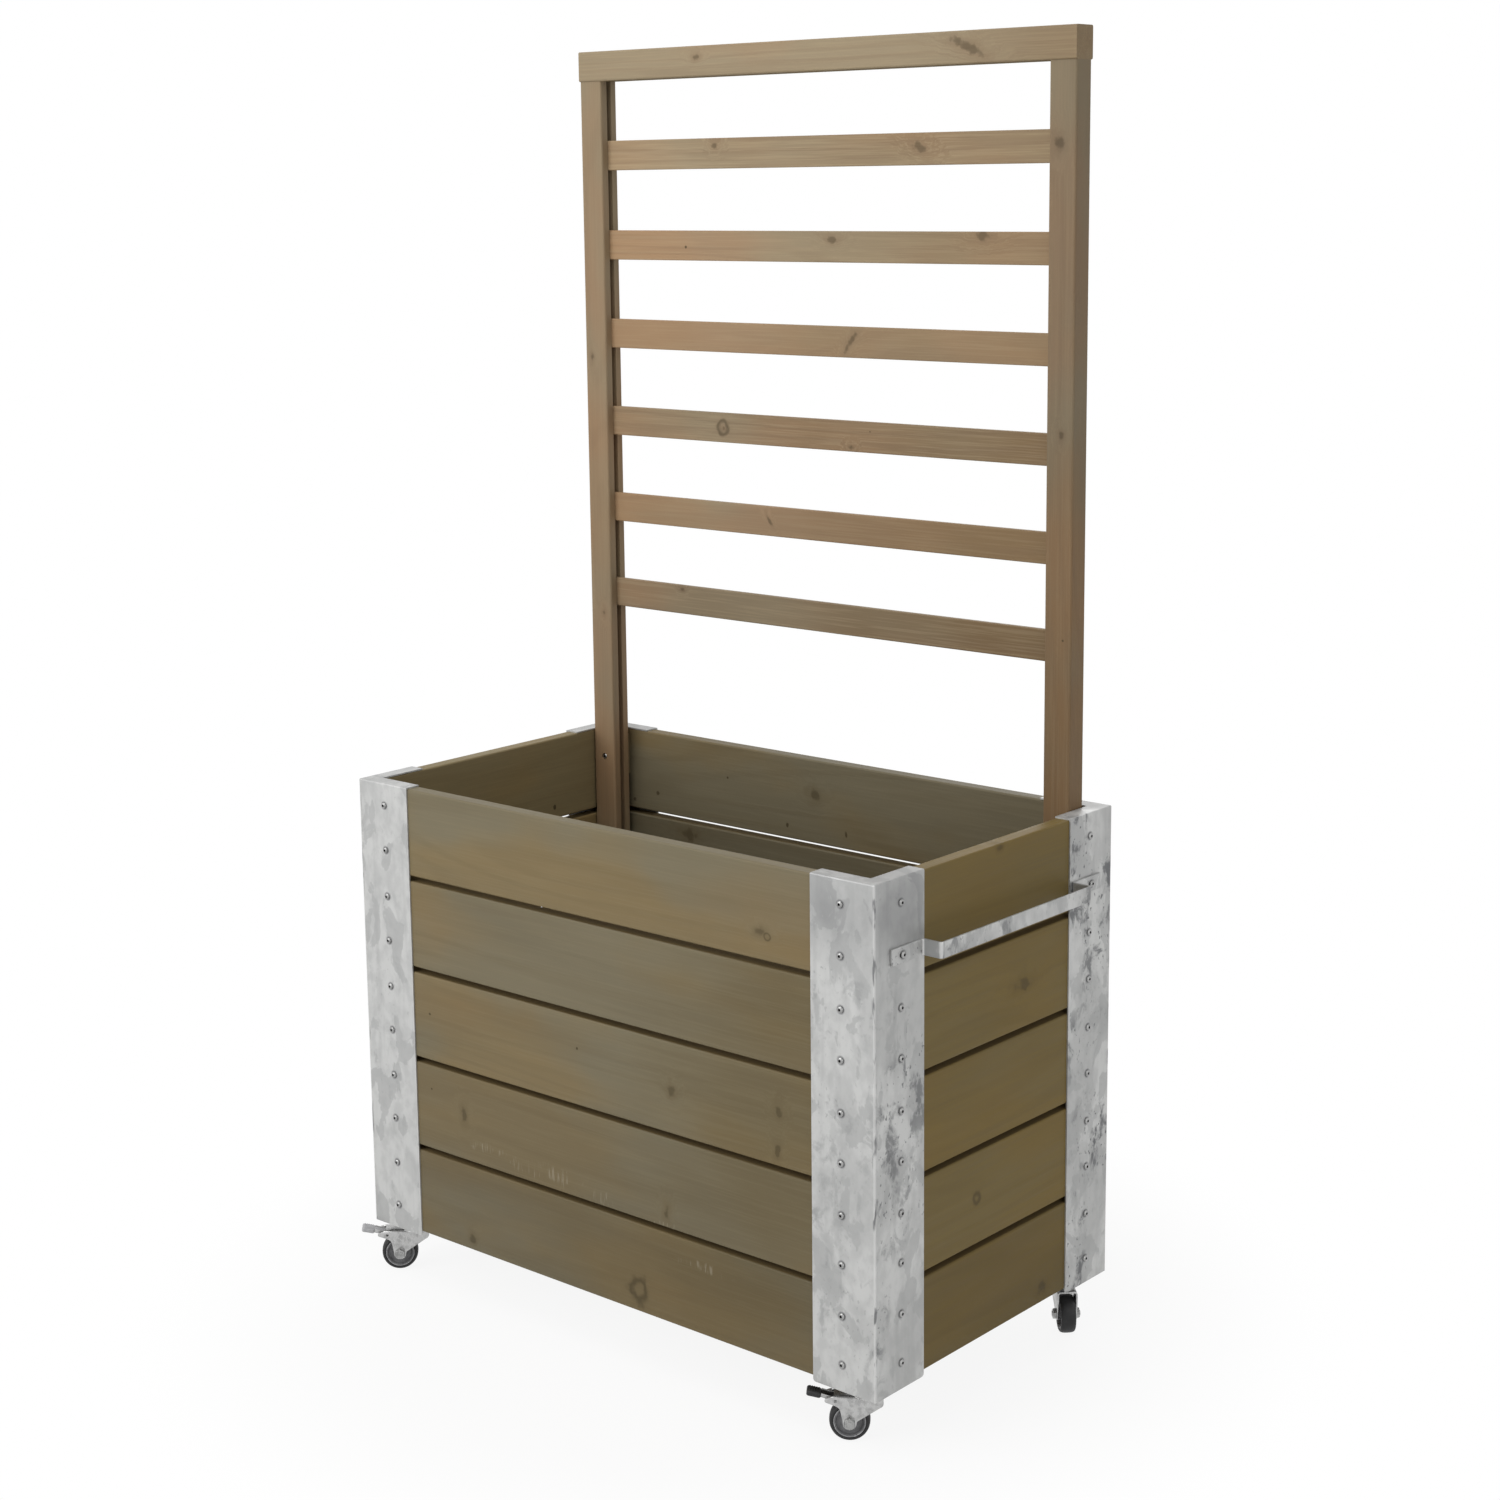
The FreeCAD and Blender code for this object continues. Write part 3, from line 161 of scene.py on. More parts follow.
def stained_wood(name, grain, seed, stain, tone=1.0, warmth=0.5, through="Y", lines=62, depth=1.0, soak=0.55,
                 heat=0.42, gap_shade=None, **marks):
    """Stained softwood. Its marks, by kind, are (along, height, half length, half height, any slant).

    The depth is how strongly the grain shows, the soak how dark the deep zones are, and the heat how
    brown the warm ones. Painted shade can go on the faces in the gaps between boards: "under" darkens a
    board's lower edge and "both" the upper one too.
    """
    wood, texture = new_finish(name)
    place = texture["Object"]
    flatten = (1, 0, 1) if through == "Y" else (0, 1, 1)
    grey = shade(stain[0], tone)
    brown = shade(stain[1], tone)
    heart = shade(KNOT_HEART, tone)

    def distance_to(kind, raggedness=95):
        spots = []
        for along, height, half_length, half_height, *slant in marks[kind]:
            centre = (along, 0, height) if through == "Y" else (0, along, height)
            spots.append((centre, (half_length, half_length, half_height), *slant))
        ragged = spread(wood, grain_noise(wood, place, 3 * [raggedness]), 0.2, 0.8, -0.45, 0.45)
        return reckon(wood, "ADD", nearest_mark(wood, place, spots, flatten), ragged)

    turned = finish_node(wood, "Mapping", {"Vector": place, "Rotation": GRAIN_TURNS[grain],
                                           "Location": [seed * step for step in BOARD_STEP]})
    if marks.get("knots"):
        knot = distance_to("knots")
        swirl = spread(wood, knot, 0.2, 4.5, 0.010, 0.0)
        push = finish_node(wood, "CombineXYZ", {"Y": swirl, "Z": swirl})
        turned = finish_node(wood, "VectorMath", {0: turned, 1: push}, operation="ADD")

    figure = grain_noise(wood, turned, FIGURE_STRETCH, 1.5, 0.45, 0.35)
    growth = spread(wood, reckon(wood, "SINE", times(wood, figure, lines)), 0.1, 1.0)
    fibre = grain_noise(wood, turned, FIBRE_STRETCH, 2.0, 0.6)
    streak = grain_noise(wood, turned, STREAK_STRETCH)
    patch = grain_noise(wood, turned, PATCH_STRETCH, 3.0)
    wash = grain_noise(wood, turned, WASH_STRETCH, 3.0)

    patches = spread(wood, patch, 0.60 - 0.3 * warmth, 0.80 - 0.3 * warmth)
    colour = coat_over(wood, patches, grey, brown)
    colour = coat_over(wood, spread(wood, wash, 0.40, 0.68, 0.0, 0.34), colour, shade(grey, 0.70))
    if marks.get("warm"):
        warmed = spread(wood, distance_to("warm", 7), 0.0, 1.3, heat, 0.0)
        colour = coat_over(wood, warmed, colour, tint(brown, WARM_TINT))
    if marks.get("deep"):
        soaked = spread(wood, distance_to("deep", 4), 0.0, 1.6, soak, 0.0)
        colour = coat_over(wood, soaked, colour, tint(brown, SOAKED_TINT))
    colour = coat_over(wood, times(wood, growth, 0.13 * depth), colour, shade(brown, 0.58))
    streaks = spread(wood, streak, 0.50, 0.75, 0.0, 0.14 * depth)
    colour = coat_over(wood, streaks, colour, shade(brown, 0.60))
    fibres = spread(wood, fibre, 0.42, 0.68, 0.0, 0.13 * depth)
    colour = coat_over(wood, fibres, colour, shade(grey, 1.5))
    if marks.get("knots"):
        colour = coat_over(wood, spread(wood, knot, 0.5, 2.4, 0.38, 0.0), colour, shade(brown, 0.62))
        colour = coat_over(wood, spread(wood, knot, 0.35, 1.05, 0.50, 0.0), colour, heart)
    if marks.get("rings"):
        ring = distance_to("rings", 45)
        colour = coat_over(wood, spread(wood, ring, 0.6, 2.2, 0.30, 0.0), colour, shade(brown, 0.72))
        bark = times(wood, spread(wood, ring, 0.25, 0.90), spread(wood, ring, 0.90, 1.45, 0.58, 0.0))
        colour = coat_over(wood, bark, colour, heart)
    if marks.get("dots"):
        dot = spread(wood, distance_to("dots"), 0.5, 1.2, 0.80, 0.0)
        colour = coat_over(wood, dot, colour, KNOT_HEART)
    if marks.get("rubs"):
        hatch = spread(wood, grain_noise(wood, place, HATCH_STRETCH, 1.0), 0.50, 0.66)
        rubbed = times(wood, spread(wood, distance_to("rubs"), 0.3, 1.1, 0.45, 0.0), hatch)
        colour = coat_over(wood, rubbed, colour, RUBBED_WOOD)

    gloss = spread(wood, fibre, 0.3, 0.7, 0.44, 0.60)
    # Painted shade on the faces that look up or down into the gaps between boards.
    if gap_shade:
        facing = finish_node(wood, "SeparateXYZ", {"Vector": texture["Normal"]}).node.outputs["Z"]
        facing = reckon(wood, "ABSOLUTE", facing) if gap_shade == "both" else times(wood, facing, -1.0)
        in_gap = spread(wood, facing, 0.90, 0.99)
        colour = coat_over(wood, times(wood, in_gap, 0.92), colour, PAINTED_GAP_SHADE)
        gloss = reckon(wood, "MAXIMUM", gloss, in_gap)

    relief = reckon(wood, "ADD", growth, fibre)
    sockets = settle(wood, colour, gloss, relief, strength=0.22, distance=0.0004)
    sockets["Specular IOR Level"].default_value = WOOD_SHEEN
    return wood


def dress(node, finish):
    """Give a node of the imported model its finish."""
    nodes[node].data.materials.clear()
    nodes[node].data.materials.append(finish)


def marks_on(kinds, piece):
    """The marks of one piece, by kind."""
    return {kind: marks[piece] for kind, marks in kinds.items() if piece in marks}


FRONT_MARKS = {
    "knots": {1: [(-0.247, 0.094, 0.006, 0.006)],
              2: [(-0.256, 0.265, 0.006, 0.012), (0.110, 0.223, 0.005, 0.010)],
              3: [(0.293, 0.350, 0.005, 0.010), (0.295, 0.399, 0.006, 0.008), (0.122, 0.386, 0.006, 0.008)],
              5: [(0.270, 0.618, 0.009, 0.005)]},
    "rings": {1: [(0.061, 0.108, 0.015, 0.017)], 5: [(0.280, 0.614, 0.004, 0.0035)]},
    "dots": {2: [(-0.319, 0.290, 0.002, 0.002)],
             3: [(-0.318, 0.396, 0.002, 0.002), (-0.041, 0.407, 0.002, 0.002)]},
    "rubs": {1: [(0.172, 0.167, 0.045, 0.007)],
             2: [(-0.218, 0.230, 0.032, 0.008), (-0.112, 0.224, 0.068, 0.013), (0.0, 0.214, 0.022, 0.010),
                 (0.104, 0.204, 0.026, 0.008)]},
    "warm": {1: [(0.110, 0.118, 0.060, 0.020)], 3: [(-0.250, 0.420, 0.150, 0.040)],
             4: [(-0.300, 0.520, 0.110, 0.060)], 5: [(0.280, 0.640, 0.180, 0.060)]},
    "deep": {1: [(0.260, 0.150, 0.300, 0.110)], 2: [(0.320, 0.270, 0.220, 0.100)],
             3: [(0.310, 0.390, 0.200, 0.100)], 4: [(0.300, 0.530, 0.170, 0.090)]},
}
BACK_MARKS = {
    "knots": {4: [(-0.267, 0.558, 0.014, 0.010)], 5: [(-0.031, 0.654, 0.010, 0.008)]},
    "dots": {5: [(-0.191, 0.655, 0.002, 0.002), (-0.080, 0.602, 0.002, 0.003), (0.026, 0.604, 0.003, 0.005),
                 (-0.327, 0.612, 0.003, 0.003), (-0.375, 0.597, 0.003, 0.003)]},
}
RIGHT_MARKS = {
    "knots": {1: [(0.100, 0.098, 0.010, 0.009)], 4: [(0.056, 0.513, 0.019, 0.009)],
              5: [(0.003, 0.698, 0.006, 0.005)]},
    "rings": {2: [(-0.042, 0.263, 0.007, 0.007)]},
}
LEFT_MARKS = {
    "knots": {2: [(0.060, 0.240, 0.010, 0.009)], 4: [(-0.090, 0.490, 0.008, 0.008)]},
    "dots": {5: [(0.102, 0.601, 0.003, 0.004)]},
}
BOARD_TONES = {1: (0.84, 0.50), 2: (0.96, 0.60), 3: (1.02, 0.65), 4: (1.02, 0.45), 5: (1.06, 0.50)}
TOP_ROW = 5
BACK_SHARE = 0.90
BACK_WARMTH = 0.3
END_TONE = 0.98
LOWEST_END_TONE = 0.80
for row, (tone, warmth) in BOARD_TONES.items():
    # The top row gets painted shade on its lower edge only, the other rows on both edges.
    gap_shade = "under" if row == TOP_ROW else "both"
    end_tone = LOWEST_END_TONE if row == 1 else END_TONE
    front_wood = stained_wood(f"front_wood_{row}", "X", row, WALL_STAIN, tone, warmth, gap_shade=gap_shade,
                              **marks_on(FRONT_MARKS, row))
    back_wood = stained_wood(f"back_wood_{row}", "X", row + 10, WALL_STAIN, BACK_SHARE * tone, BACK_WARMTH,
                             gap_shade=gap_shade, **marks_on(BACK_MARKS, row))
    right_wood = stained_wood(f"right_wood_{row}", "Y", row + 20, END_STAIN_IN_WARM_SHADE, end_tone, warmth, through="X",
                              gap_shade=gap_shade, **marks_on(RIGHT_MARKS, row))
    left_wood = stained_wood(f"left_wood_{row}", "Y", row + 30, LEFT_STAIN_WITH_PAINTED_LIGHT, 1.0, warmth, through="X",
                             gap_shade=gap_shade, **marks_on(LEFT_MARKS, row))
    dress(f"front_board_{row}", front_wood)
    dress(f"back_board_{row}", back_wood)
    dress(f"right_end_board_{row}", right_wood)
    dress(f"left_end_board_{row}", left_wood)

# Corner angles: sheet steel folded to an angle with a lip over the boards, then dipped in zinc.
# The zinc is cloudy, with darker blotches from handling, grime and painted shade round the screws,
# and a painted highlight along the bends, with worn nicks beside it.
corner_low, corner_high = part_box("corner_angle_front_right")
board_low, board_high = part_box("front_board_1")
CORNER_X = corner_high.x
CORNER_Y = -corner_low.y
LOWEST_ROW = (board_low.z + board_high.z) / 2
ROW_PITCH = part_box("front_board_2")[0].z - board_low.z
SCREW_INSET = 0.050
SCREW_SPREAD = 0.062
MILLIMETRE = 0.001
BEND_REACH = 0.005
ZINC_STEP = (1, 0.4, 0.7)
CLOUD_STRETCH = (14, 14, 9)
PUDDLE_STRETCH = (23, 23, 15)
MOTTLE_STRETCH = (62, 62, 44)
RUN_STRETCH = (75, 75, 4)
CLUSTER_STRETCH = (8, 8, 5)
BLOTCH_STRETCH = (36, 36, 26)
FLECK_STRETCH = (190, 190, 130)
NICK_STRETCH = (160, 160, 24)
PALE_ZINC = (0.575, 0.577, 0.568)
DULL_ZINC = (0.385, 0.388, 0.385)
DARK_ZINC = (0.150, 0.153, 0.158)
BEND_HIGHLIGHT_ZINC = (0.74, 0.74, 0.73)


def dipped_zinc(name, seed, stain, smears=(), bends=((CORNER_X, CORNER_Y),)):
    """Hot-dipped zinc: pale clouds, with blotches and flecks in clusters, more of them on the end flanges."""
    zinc, texture = new_finish(name)
    place = texture["Object"]
    away = [seed * step for step in ZINC_STEP]
    moved = finish_node(zinc, "Mapping", {"Vector": place, "Location": away})

    cloud = grain_noise(zinc, moved, CLOUD_STRETCH, 4.0, 0.5, 0.3)
    colour = coat_over(zinc, spread(zinc, cloud, 0.46, 0.57, 0.0, 0.42), PALE_ZINC, DULL_ZINC)
    puddle = grain_noise(zinc, moved, PUDDLE_STRETCH, 5.0, 0.55, 0.5)
    colour = coat_over(zinc, spread(zinc, puddle, 0.53, 0.565, 0.0, 0.66), colour, DULL_ZINC)
    mottle = grain_noise(zinc, moved, MOTTLE_STRETCH, 4.0, 0.55)
    colour = coat_over(zinc, spread(zinc, mottle, 0.40, 0.66, 0.0, 0.4), colour, DULL_ZINC)
    crystal = finish_node(zinc, "TexVoronoi", {"Vector": moved, "Scale": 95.0}).node.outputs["Color"]
    crystal_tone = finish_node(zinc, "SeparateXYZ", {"Vector": crystal})
    colour = coat_over(zinc, times(zinc, crystal_tone, 0.12), colour, PALE_ZINC)
    run = grain_noise(zinc, moved, RUN_STRETCH)
    colour = coat_over(zinc, spread(zinc, run, 0.54, 0.74, 0.0, 0.30), colour, DULL_ZINC)

    normal_x = finish_node(zinc, "SeparateXYZ", {"Vector": texture["Normal"]})
    end_flange = spread(zinc, reckon(zinc, "ABSOLUTE", normal_x), 0.3, 0.9, 0.4, 1.0)
    cluster = spread(zinc, grain_noise(zinc, moved, CLUSTER_STRETCH), 0.44, 0.62)
    stained = times(zinc, cluster, times(zinc, end_flange, stain))
    blotch = grain_noise(zinc, moved, BLOTCH_STRETCH, 6.0, 0.62, 0.4)
    colour = coat_over(zinc, times(zinc, stained, spread(zinc, blotch, 0.52, 0.64)), colour, DARK_ZINC)
    fleck = grain_noise(zinc, moved, FLECK_STRETCH)
    colour = coat_over(zinc, times(zinc, stained, spread(zinc, fleck, 0.63, 0.70)), colour, DARK_ZINC)
    if smears:
        worn = reckon(zinc, "ADD", nearest_mark(zinc, place, smears, (0, 1, 1)), cloud)
        colour = coat_over(zinc, spread(zinc, worn, 0.6, 1.7, 0.55, 0.0), colour, DARK_ZINC)

    folded = finish_node(zinc, "VectorMath", {0: place}, operation="ABSOLUTE")
    parts = finish_node(zinc, "SeparateXYZ", {"Vector": folded}).node.outputs
    from_column = reckon(zinc, "SUBTRACT", parts["X"], CORNER_X - SCREW_INSET)
    from_end_column = reckon(zinc, "SUBTRACT", parts["Y"], CORNER_Y - SCREW_INSET)
    raised = reckon(zinc, "SUBTRACT", parts["Z"], LOWEST_ROW - ROW_PITCH / 2)
    in_row = reckon(zinc, "FLOORED_MODULO", raised, ROW_PITCH)
    from_middle = reckon(zinc, "ABSOLUTE", reckon(zinc, "SUBTRACT", in_row, ROW_PITCH / 2))
    from_screw = reckon(zinc, "SUBTRACT", from_middle, SCREW_SPREAD / 2)
    # Grime and painted shade in a ring round each screw head.
    for across in (from_column, from_end_column):
        spot = finish_node(zinc, "CombineXYZ", {"X": across, "Z": from_screw})
        ring = nearest_mark(zinc, spot, [((0, 0, 0), (MILLIMETRE, 1, MILLIMETRE))], (1, 0, 1))
        colour = coat_over(zinc, spread(zinc, ring, 4.4, 7.0, 0.75, 0.0), colour, DARK_ZINC)

    # A painted highlight along each bend, with dark nicks of wear beside it.
    bend_lines = [((x, y, 0), (BEND_REACH, BEND_REACH, 1)) for x, y in bends]
    from_bend = nearest_mark(zinc, folded, bend_lines, (1, 1, 0))
    colour = coat_over(zinc, spread(zinc, from_bend, 0.2, 0.6, 0.55, 0.0), colour, BEND_HIGHLIGHT_ZINC)
    nick = spread(zinc, grain_noise(zinc, moved, NICK_STRETCH, 3.0), 0.54, 0.64, 0.0, 0.85)
    nicks = times(zinc, spread(zinc, from_bend, 0.3, 1.0, 1.0, 0.0), nick)
    colour = coat_over(zinc, nicks, colour, DARK_ZINC)
    gloss = spread(zinc, cloud, 0.3, 0.7, 0.40, 0.58)
    relief = reckon(zinc, "ADD", mottle, run)
    sockets = settle(zinc, colour, gloss, relief, strength=0.12, distance=0.0006)
    sockets["Metallic"].default_value = 0.55
    return zinc


HANDLED_TOP = [((0, -0.195, 0.665), (1, 0.085, 0.075))]
ZINC_LOOKS = {"front_left": (0.0, 0.45, ()), "front_right": (0.37, 0.80, HANDLED_TOP),
              "rear_left": (0.81, 0.7, ()), "rear_right": (1.23, 1.0, ())}
for corner, (seed, stain, smears) in ZINC_LOOKS.items():
    dress(f"corner_angle_{corner}", dipped_zinc(f"zinc_{corner}", seed, stain, smears))

# Corner screws: bright zinc wood screws with low round heads and a star-shaped drive, two to
# each board on every flange. The handles' feet sit under four of them.
HANDLE_BAR = 0.003
SCREW_SIDES = 24
DRIVE_POINTS = 6
DRIVE_WAIST = 0.74
DRIVE_TAPER = 0.95
DRIVE_DEPTH = 0.0017
SHANK_SHARE = 0.8
TIP_SHARE = 0.15
HAND_TURN = 0.7
BRUSH_STRETCH = (900, 900, 60)
HEAD_STEPS = [(0.00425, 0.0009), (0.00405, 0.0015), (0.0036, 0.0021), (0.0028, 0.0025), (0.0019, 0.0026)]
CORNER_SHANK = (0.002, 0.018)
SAME_PLACE = 1e-6


def bright_steel(name, colour, roughness):
    """Plated steel with a faint uneven gloss."""
    steel, texture = new_finish(name)
    place = texture["Object"]
    haze = finish_node(steel, "TexNoise", {"Vector": place, "Scale": 140.0, "Detail": 4.0, "Roughness": 0.6})
    brush = grain_noise(steel, place, BRUSH_STRETCH)
    hazed = coat_over(steel, spread(steel, haze, 0.42, 0.68), colour, shade(colour, 0.72))
    gloss = spread(steel, brush, 0.3, 0.7, roughness - 0.07, roughness + 0.09)
    sockets = settle(steel, hazed, gloss, brush, strength=0.08, distance=0.0002)
    sockets["Metallic"].default_value = 0.9
    return steel


def next_ring(shape, ring, scale, lift):
    """Extrude a ring of edges, then widen and lift the new ring about the Z axis."""
    grown = bmesh.ops.extrude_edge_only(shape, edges=ring)["geom"]
    verts = [part for part in grown if isinstance(part, bmesh.types.BMVert)]
    bmesh.ops.scale(shape, verts=verts, vec=(scale, scale, 1))
    bmesh.ops.translate(shape, verts=verts, vec=(0, 0, lift))
    edges = [part for part in grown if isinstance(part, bmesh.types.BMEdge)]
    return [edge for edge in edges if all(vert in verts for vert in edge.verts)]


def star_drive_screw(shank_radius, length, size):
    """A wood screw along -Z, seated at the origin. The size is its head against a corner screw's."""
    shape = bmesh.new()
    seat_radius = HEAD_STEPS[0][0]
    bmesh.ops.create_circle(shape, cap_ends=False, segments=SCREW_SIDES, radius=seat_radius)
    seat = list(shape.edges)
    ring, radius, height = seat, seat_radius, 0.0
    for next_radius, next_height in HEAD_STEPS:
        ring = next_ring(shape, ring, next_radius / radius, next_height - height)
        radius, height = next_radius, next_height
    rim = {vert for edge in ring for vert in edge.verts}
    lobes = sorted(rim, key=lambda vert: math.atan2(vert.co.y, vert.co.x))
    waists = lobes[::SCREW_SIDES // DRIVE_POINTS]
    bmesh.ops.scale(shape, verts=waists, vec=(DRIVE_WAIST, DRIVE_WAIST, 1))
    outside = set(shape.faces)
    ring = next_ring(shape, ring, DRIVE_TAPER, -DRIVE_DEPTH)
    bmesh.ops.edgeloop_fill(shape, edges=ring)
    # The drive's faces take a second finish, which paints the shade inside the drive.
    for face in shape.faces:
        if face not in outside:
            face.material_index = 1
    ring = next_ring(shape, seat, shank_radius / size / seat_radius, 0)
    ring = next_ring(shape, ring, 1.0, -SHANK_SHARE * length / size)
    ring = next_ring(shape, ring, TIP_SHARE, (SHANK_SHARE - 1) * length / size)
    bmesh.ops.edgeloop_fill(shape, edges=ring)
    bmesh.ops.scale(shape, verts=shape.verts, vec=(size, size, size))
    bmesh.ops.recalc_face_normals(shape, faces=shape.faces)
    mesh = bpy.data.meshes.new("star_drive_screw")
    shape.to_mesh(mesh)
    shape.free()
    return mesh


def drive_screws(screw, seats):
    """One shape with a copy of a screw at every seat, its head pointing out, each turned by hand."""
    driven = bmesh.new()
    for count, (place, out) in enumerate(seats):
        first = len(driven.verts)
        driven.from_mesh(screw)
        driven.verts.ensure_lookup_table()
        lean = Vector(out).to_track_quat("Z", "Y").to_matrix().to_4x4()
        turn = Matrix.Rotation(HAND_TURN * count, 4, "Z")
        seated = Matrix.Translation(place) @ lean @ turn
        bmesh.ops.transform(driven, matrix=seated, verts=driven.verts[first:])
    return driven


def set_in_place(shape, name, finish, body, slot, *stands_for, crease=34):
    """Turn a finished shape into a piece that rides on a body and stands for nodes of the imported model."""
    bmesh.ops.remove_doubles(shape, verts=shape.verts, dist=SAME_PLACE)
    bmesh.ops.recalc_face_normals(shape, faces=shape.faces)
    mesh = bpy.data.meshes.new(name)
    shape.to_mesh(mesh)
    shape.free()
    mesh.shade_smooth()
    mesh.set_sharp_from_angle(angle=math.radians(crease))
    mesh.materials.append(finish)
    piece = bpy.data.objects.new(name, mesh)
    bpy.context.scene.collection.objects.link(piece)
    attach(piece, body)
    if stands_for:
        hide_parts(*stands_for)
    return piece


def set_screws(name, seats, screw, stands_for):
    """Drive a screw at every seat and set the whole lot in place, with painted shade in the drives."""
    driven = drive_screws(screw, seats)
    screw_set = set_in_place(driven, name, screw_finish, "planter", "screw_steel", stands_for)
    screw_set.data.materials.append(painted_drive_shade)


screw_finish = bright_steel("screw_zinc", (0.38, 0.38, 0.375), 0.28)
# A near-black finish that paints the shade in the screws' drives.
painted_drive_shade = bright_steel("screw_drive_shade", (0.018, 0.018, 0.019), 0.65)
column_x = CORNER_X - SCREW_INSET
column_y = CORNER_Y - SCREW_INSET
corner_seats = []
for row in BOARD_TONES:
    low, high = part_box(f"front_board_{row}")
    middle = (low.z + high.z) / 2
    for step in (-1, 1):
        height = middle + step * SCREW_SPREAD / 2
        over_handle = HANDLE_BAR if row == TOP_ROW and step < 0 else 0
        for side_x in (-1, 1):
            face_x = side_x * (CORNER_X + over_handle)
            for side_y in (-1, 1):
                corner_seats.append(((side_x * column_x, side_y * CORNER_Y, height), (0, side_y, 0)))
                corner_seats.append(((face_x, side_y * column_y, height), (side_x, 0, 0)))
set_screws("corner_screw_set", corner_seats, star_drive_screw(*CORNER_SHANK, 1.0), "corner_screws")

# Handles: flat steel bar bent four times to a bridge, slotted at both feet and dipped in zinc
# with the corners. One is screwed across each end, low on the top board.
BAR_EASE = 0.0005
HANDLE_BEND = 0.0035
BEND_STEPS = 6
FOOT_CUTS = 3
STANDOFF_Y = 0.157
SLOT_SIDES = 16
SLOT_HALF_RUN = 0.00325
SLOT_RADIUS = 0.00275


def edges_at(shape, picks):
    """Edges of a shape whose two ends both pass a test."""
    return [edge for edge in shape.edges if all(picks(vert.co) for vert in edge.verts)]


def bend_on(shape, edges, centre, angle):
    """Bend a sheet on from its end edges, round an upright line."""
    ends = edges + list({vert for edge in edges for vert in edge.verts})
    spun = bmesh.ops.spin(shape, geom=ends, cent=centre, axis=(0, 0, 1), angle=angle, steps=BEND_STEPS)
    return [part for part in spun["geom_last"] if isinstance(part, bmesh.types.BMEdge)]


def run_on(shape, edges, step):
    """Run a sheet straight on from its end edges."""
    grown = bmesh.ops.extrude_edge_only(shape, edges=edges)["geom"]
    verts = [part for part in grown if isinstance(part, bmesh.types.BMVert)]
    bmesh.ops.translate(shape, verts=verts, vec=step)
    return [part for part in grown if isinstance(part, bmesh.types.BMEdge)
            and all(vert in verts for vert in part.verts)]


def thicken(piece, thickness, ease):
    """Give a bent sheet its thickness, on both sides alike, and ease its edges."""
    thick = piece.modifiers.new("sheet_thickness", "SOLIDIFY")
    thick.thickness = thickness
    thick.offset = 0
    eased = piece.modifiers.new("eased_edges", "BEVEL")
    eased.width = ease
    eased.segments = 2
    eased.limit_method = "ANGLE"


handle_low, handle_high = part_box("right_handle")
handle_middle = (handle_low.z + handle_high.z) / 2
bar_height = handle_high.z - handle_low.z
foot_tip = handle_high.y
foot_x = CORNER_X + HANDLE_BAR / 2
outer_x = handle_high.x - HANDLE_BAR / 2
bend_start = STANDOFF_Y + HANDLE_BEND
# The handle's bends, where its zinc gets the painted highlight.
handle_bends = ((outer_x, STANDOFF_Y), (CORNER_X + HANDLE_BAR, STANDOFF_Y + HANDLE_BEND / 2))
handle_zinc = dipped_zinc("zinc_handle", 3.1, 0.7, bends=handle_bends)
stand_up = Matrix(((0, 0, 1, foot_x), (1, 0, 0, column_y), (0, 1, 0, handle_middle), (0, 0, 0, 1)))
for label, half_turn in (("right", 0), ("left", math.pi)):
    bar = bmesh.new()
    bmesh.ops.create_circle(bar, cap_ends=False, segments=SLOT_SIDES, radius=SLOT_RADIUS)
    for vert in bar.verts:
        vert.co.x += math.copysign(SLOT_HALF_RUN, vert.co.x + SAME_PLACE)
    slot_edges = list(bar.edges)
    foot = bmesh.ops.create_grid(bar, x_segments=1, y_segments=1, size=0.5)["verts"]
    bmesh.ops.scale(bar, verts=foot, vec=(foot_tip - bend_start, bar_height, 1))
    bmesh.ops.translate(bar, verts=foot, vec=((foot_tip + bend_start) / 2 - column_y, 0, 0))
    bmesh.ops.delete(bar, geom=list(bar.faces), context="FACES_ONLY")
    foot_edges = [edge for edge in bar.edges if edge not in slot_edges]
    bmesh.ops.subdivide_edges(bar, edges=foot_edges, cuts=FOOT_CUTS)
    bmesh.ops.bridge_loops(bar, edges=list(bar.edges))
    bmesh.ops.transform(bar, matrix=stand_up, verts=bar.verts)
    end = edges_at(bar, lambda co: abs(co.y - bend_start) < SAME_PLACE)
    end = bend_on(bar, end, (foot_x + HANDLE_BEND, bend_start, 0), math.radians(90))
    end = run_on(bar, end, (outer_x - foot_x - 2 * HANDLE_BEND, 0, 0))
    end = bend_on(bar, end, (outer_x - HANDLE_BEND, STANDOFF_Y - HANDLE_BEND, 0), math.radians(-90))
    run_on(bar, end, (0, HANDLE_BEND - STANDOFF_Y, 0))
    half_bar = list(bar.verts) + list(bar.edges) + list(bar.faces)
    bmesh.ops.mirror(bar, geom=half_bar, axis="Y", merge_dist=10 * SAME_PLACE)
    if half_turn:
        bmesh.ops.rotate(bar, verts=bar.verts, cent=(0, 0, 0), matrix=Matrix.Rotation(half_turn, 3, "Z"))
    handle = set_in_place(bar, f"{label}_bar_handle", handle_zinc, "planter", "galvanised_steel",
                          f"{label}_handle")
    thicken(handle, HANDLE_BAR, BAR_EASE)

# Floor: two bearers along the long walls, and loose boards with drain gaps laid across them.
# They are sawn from the same wood and coloured darker.
for node, seed, grain, tone in (("floor_boards", 41, "Y", 0.75), ("floor_bearers", 43, "X", 0.72)):
    dress(node, stained_wood(node + "_wood", grain, seed, WALL_STAIN, tone, 0.8))
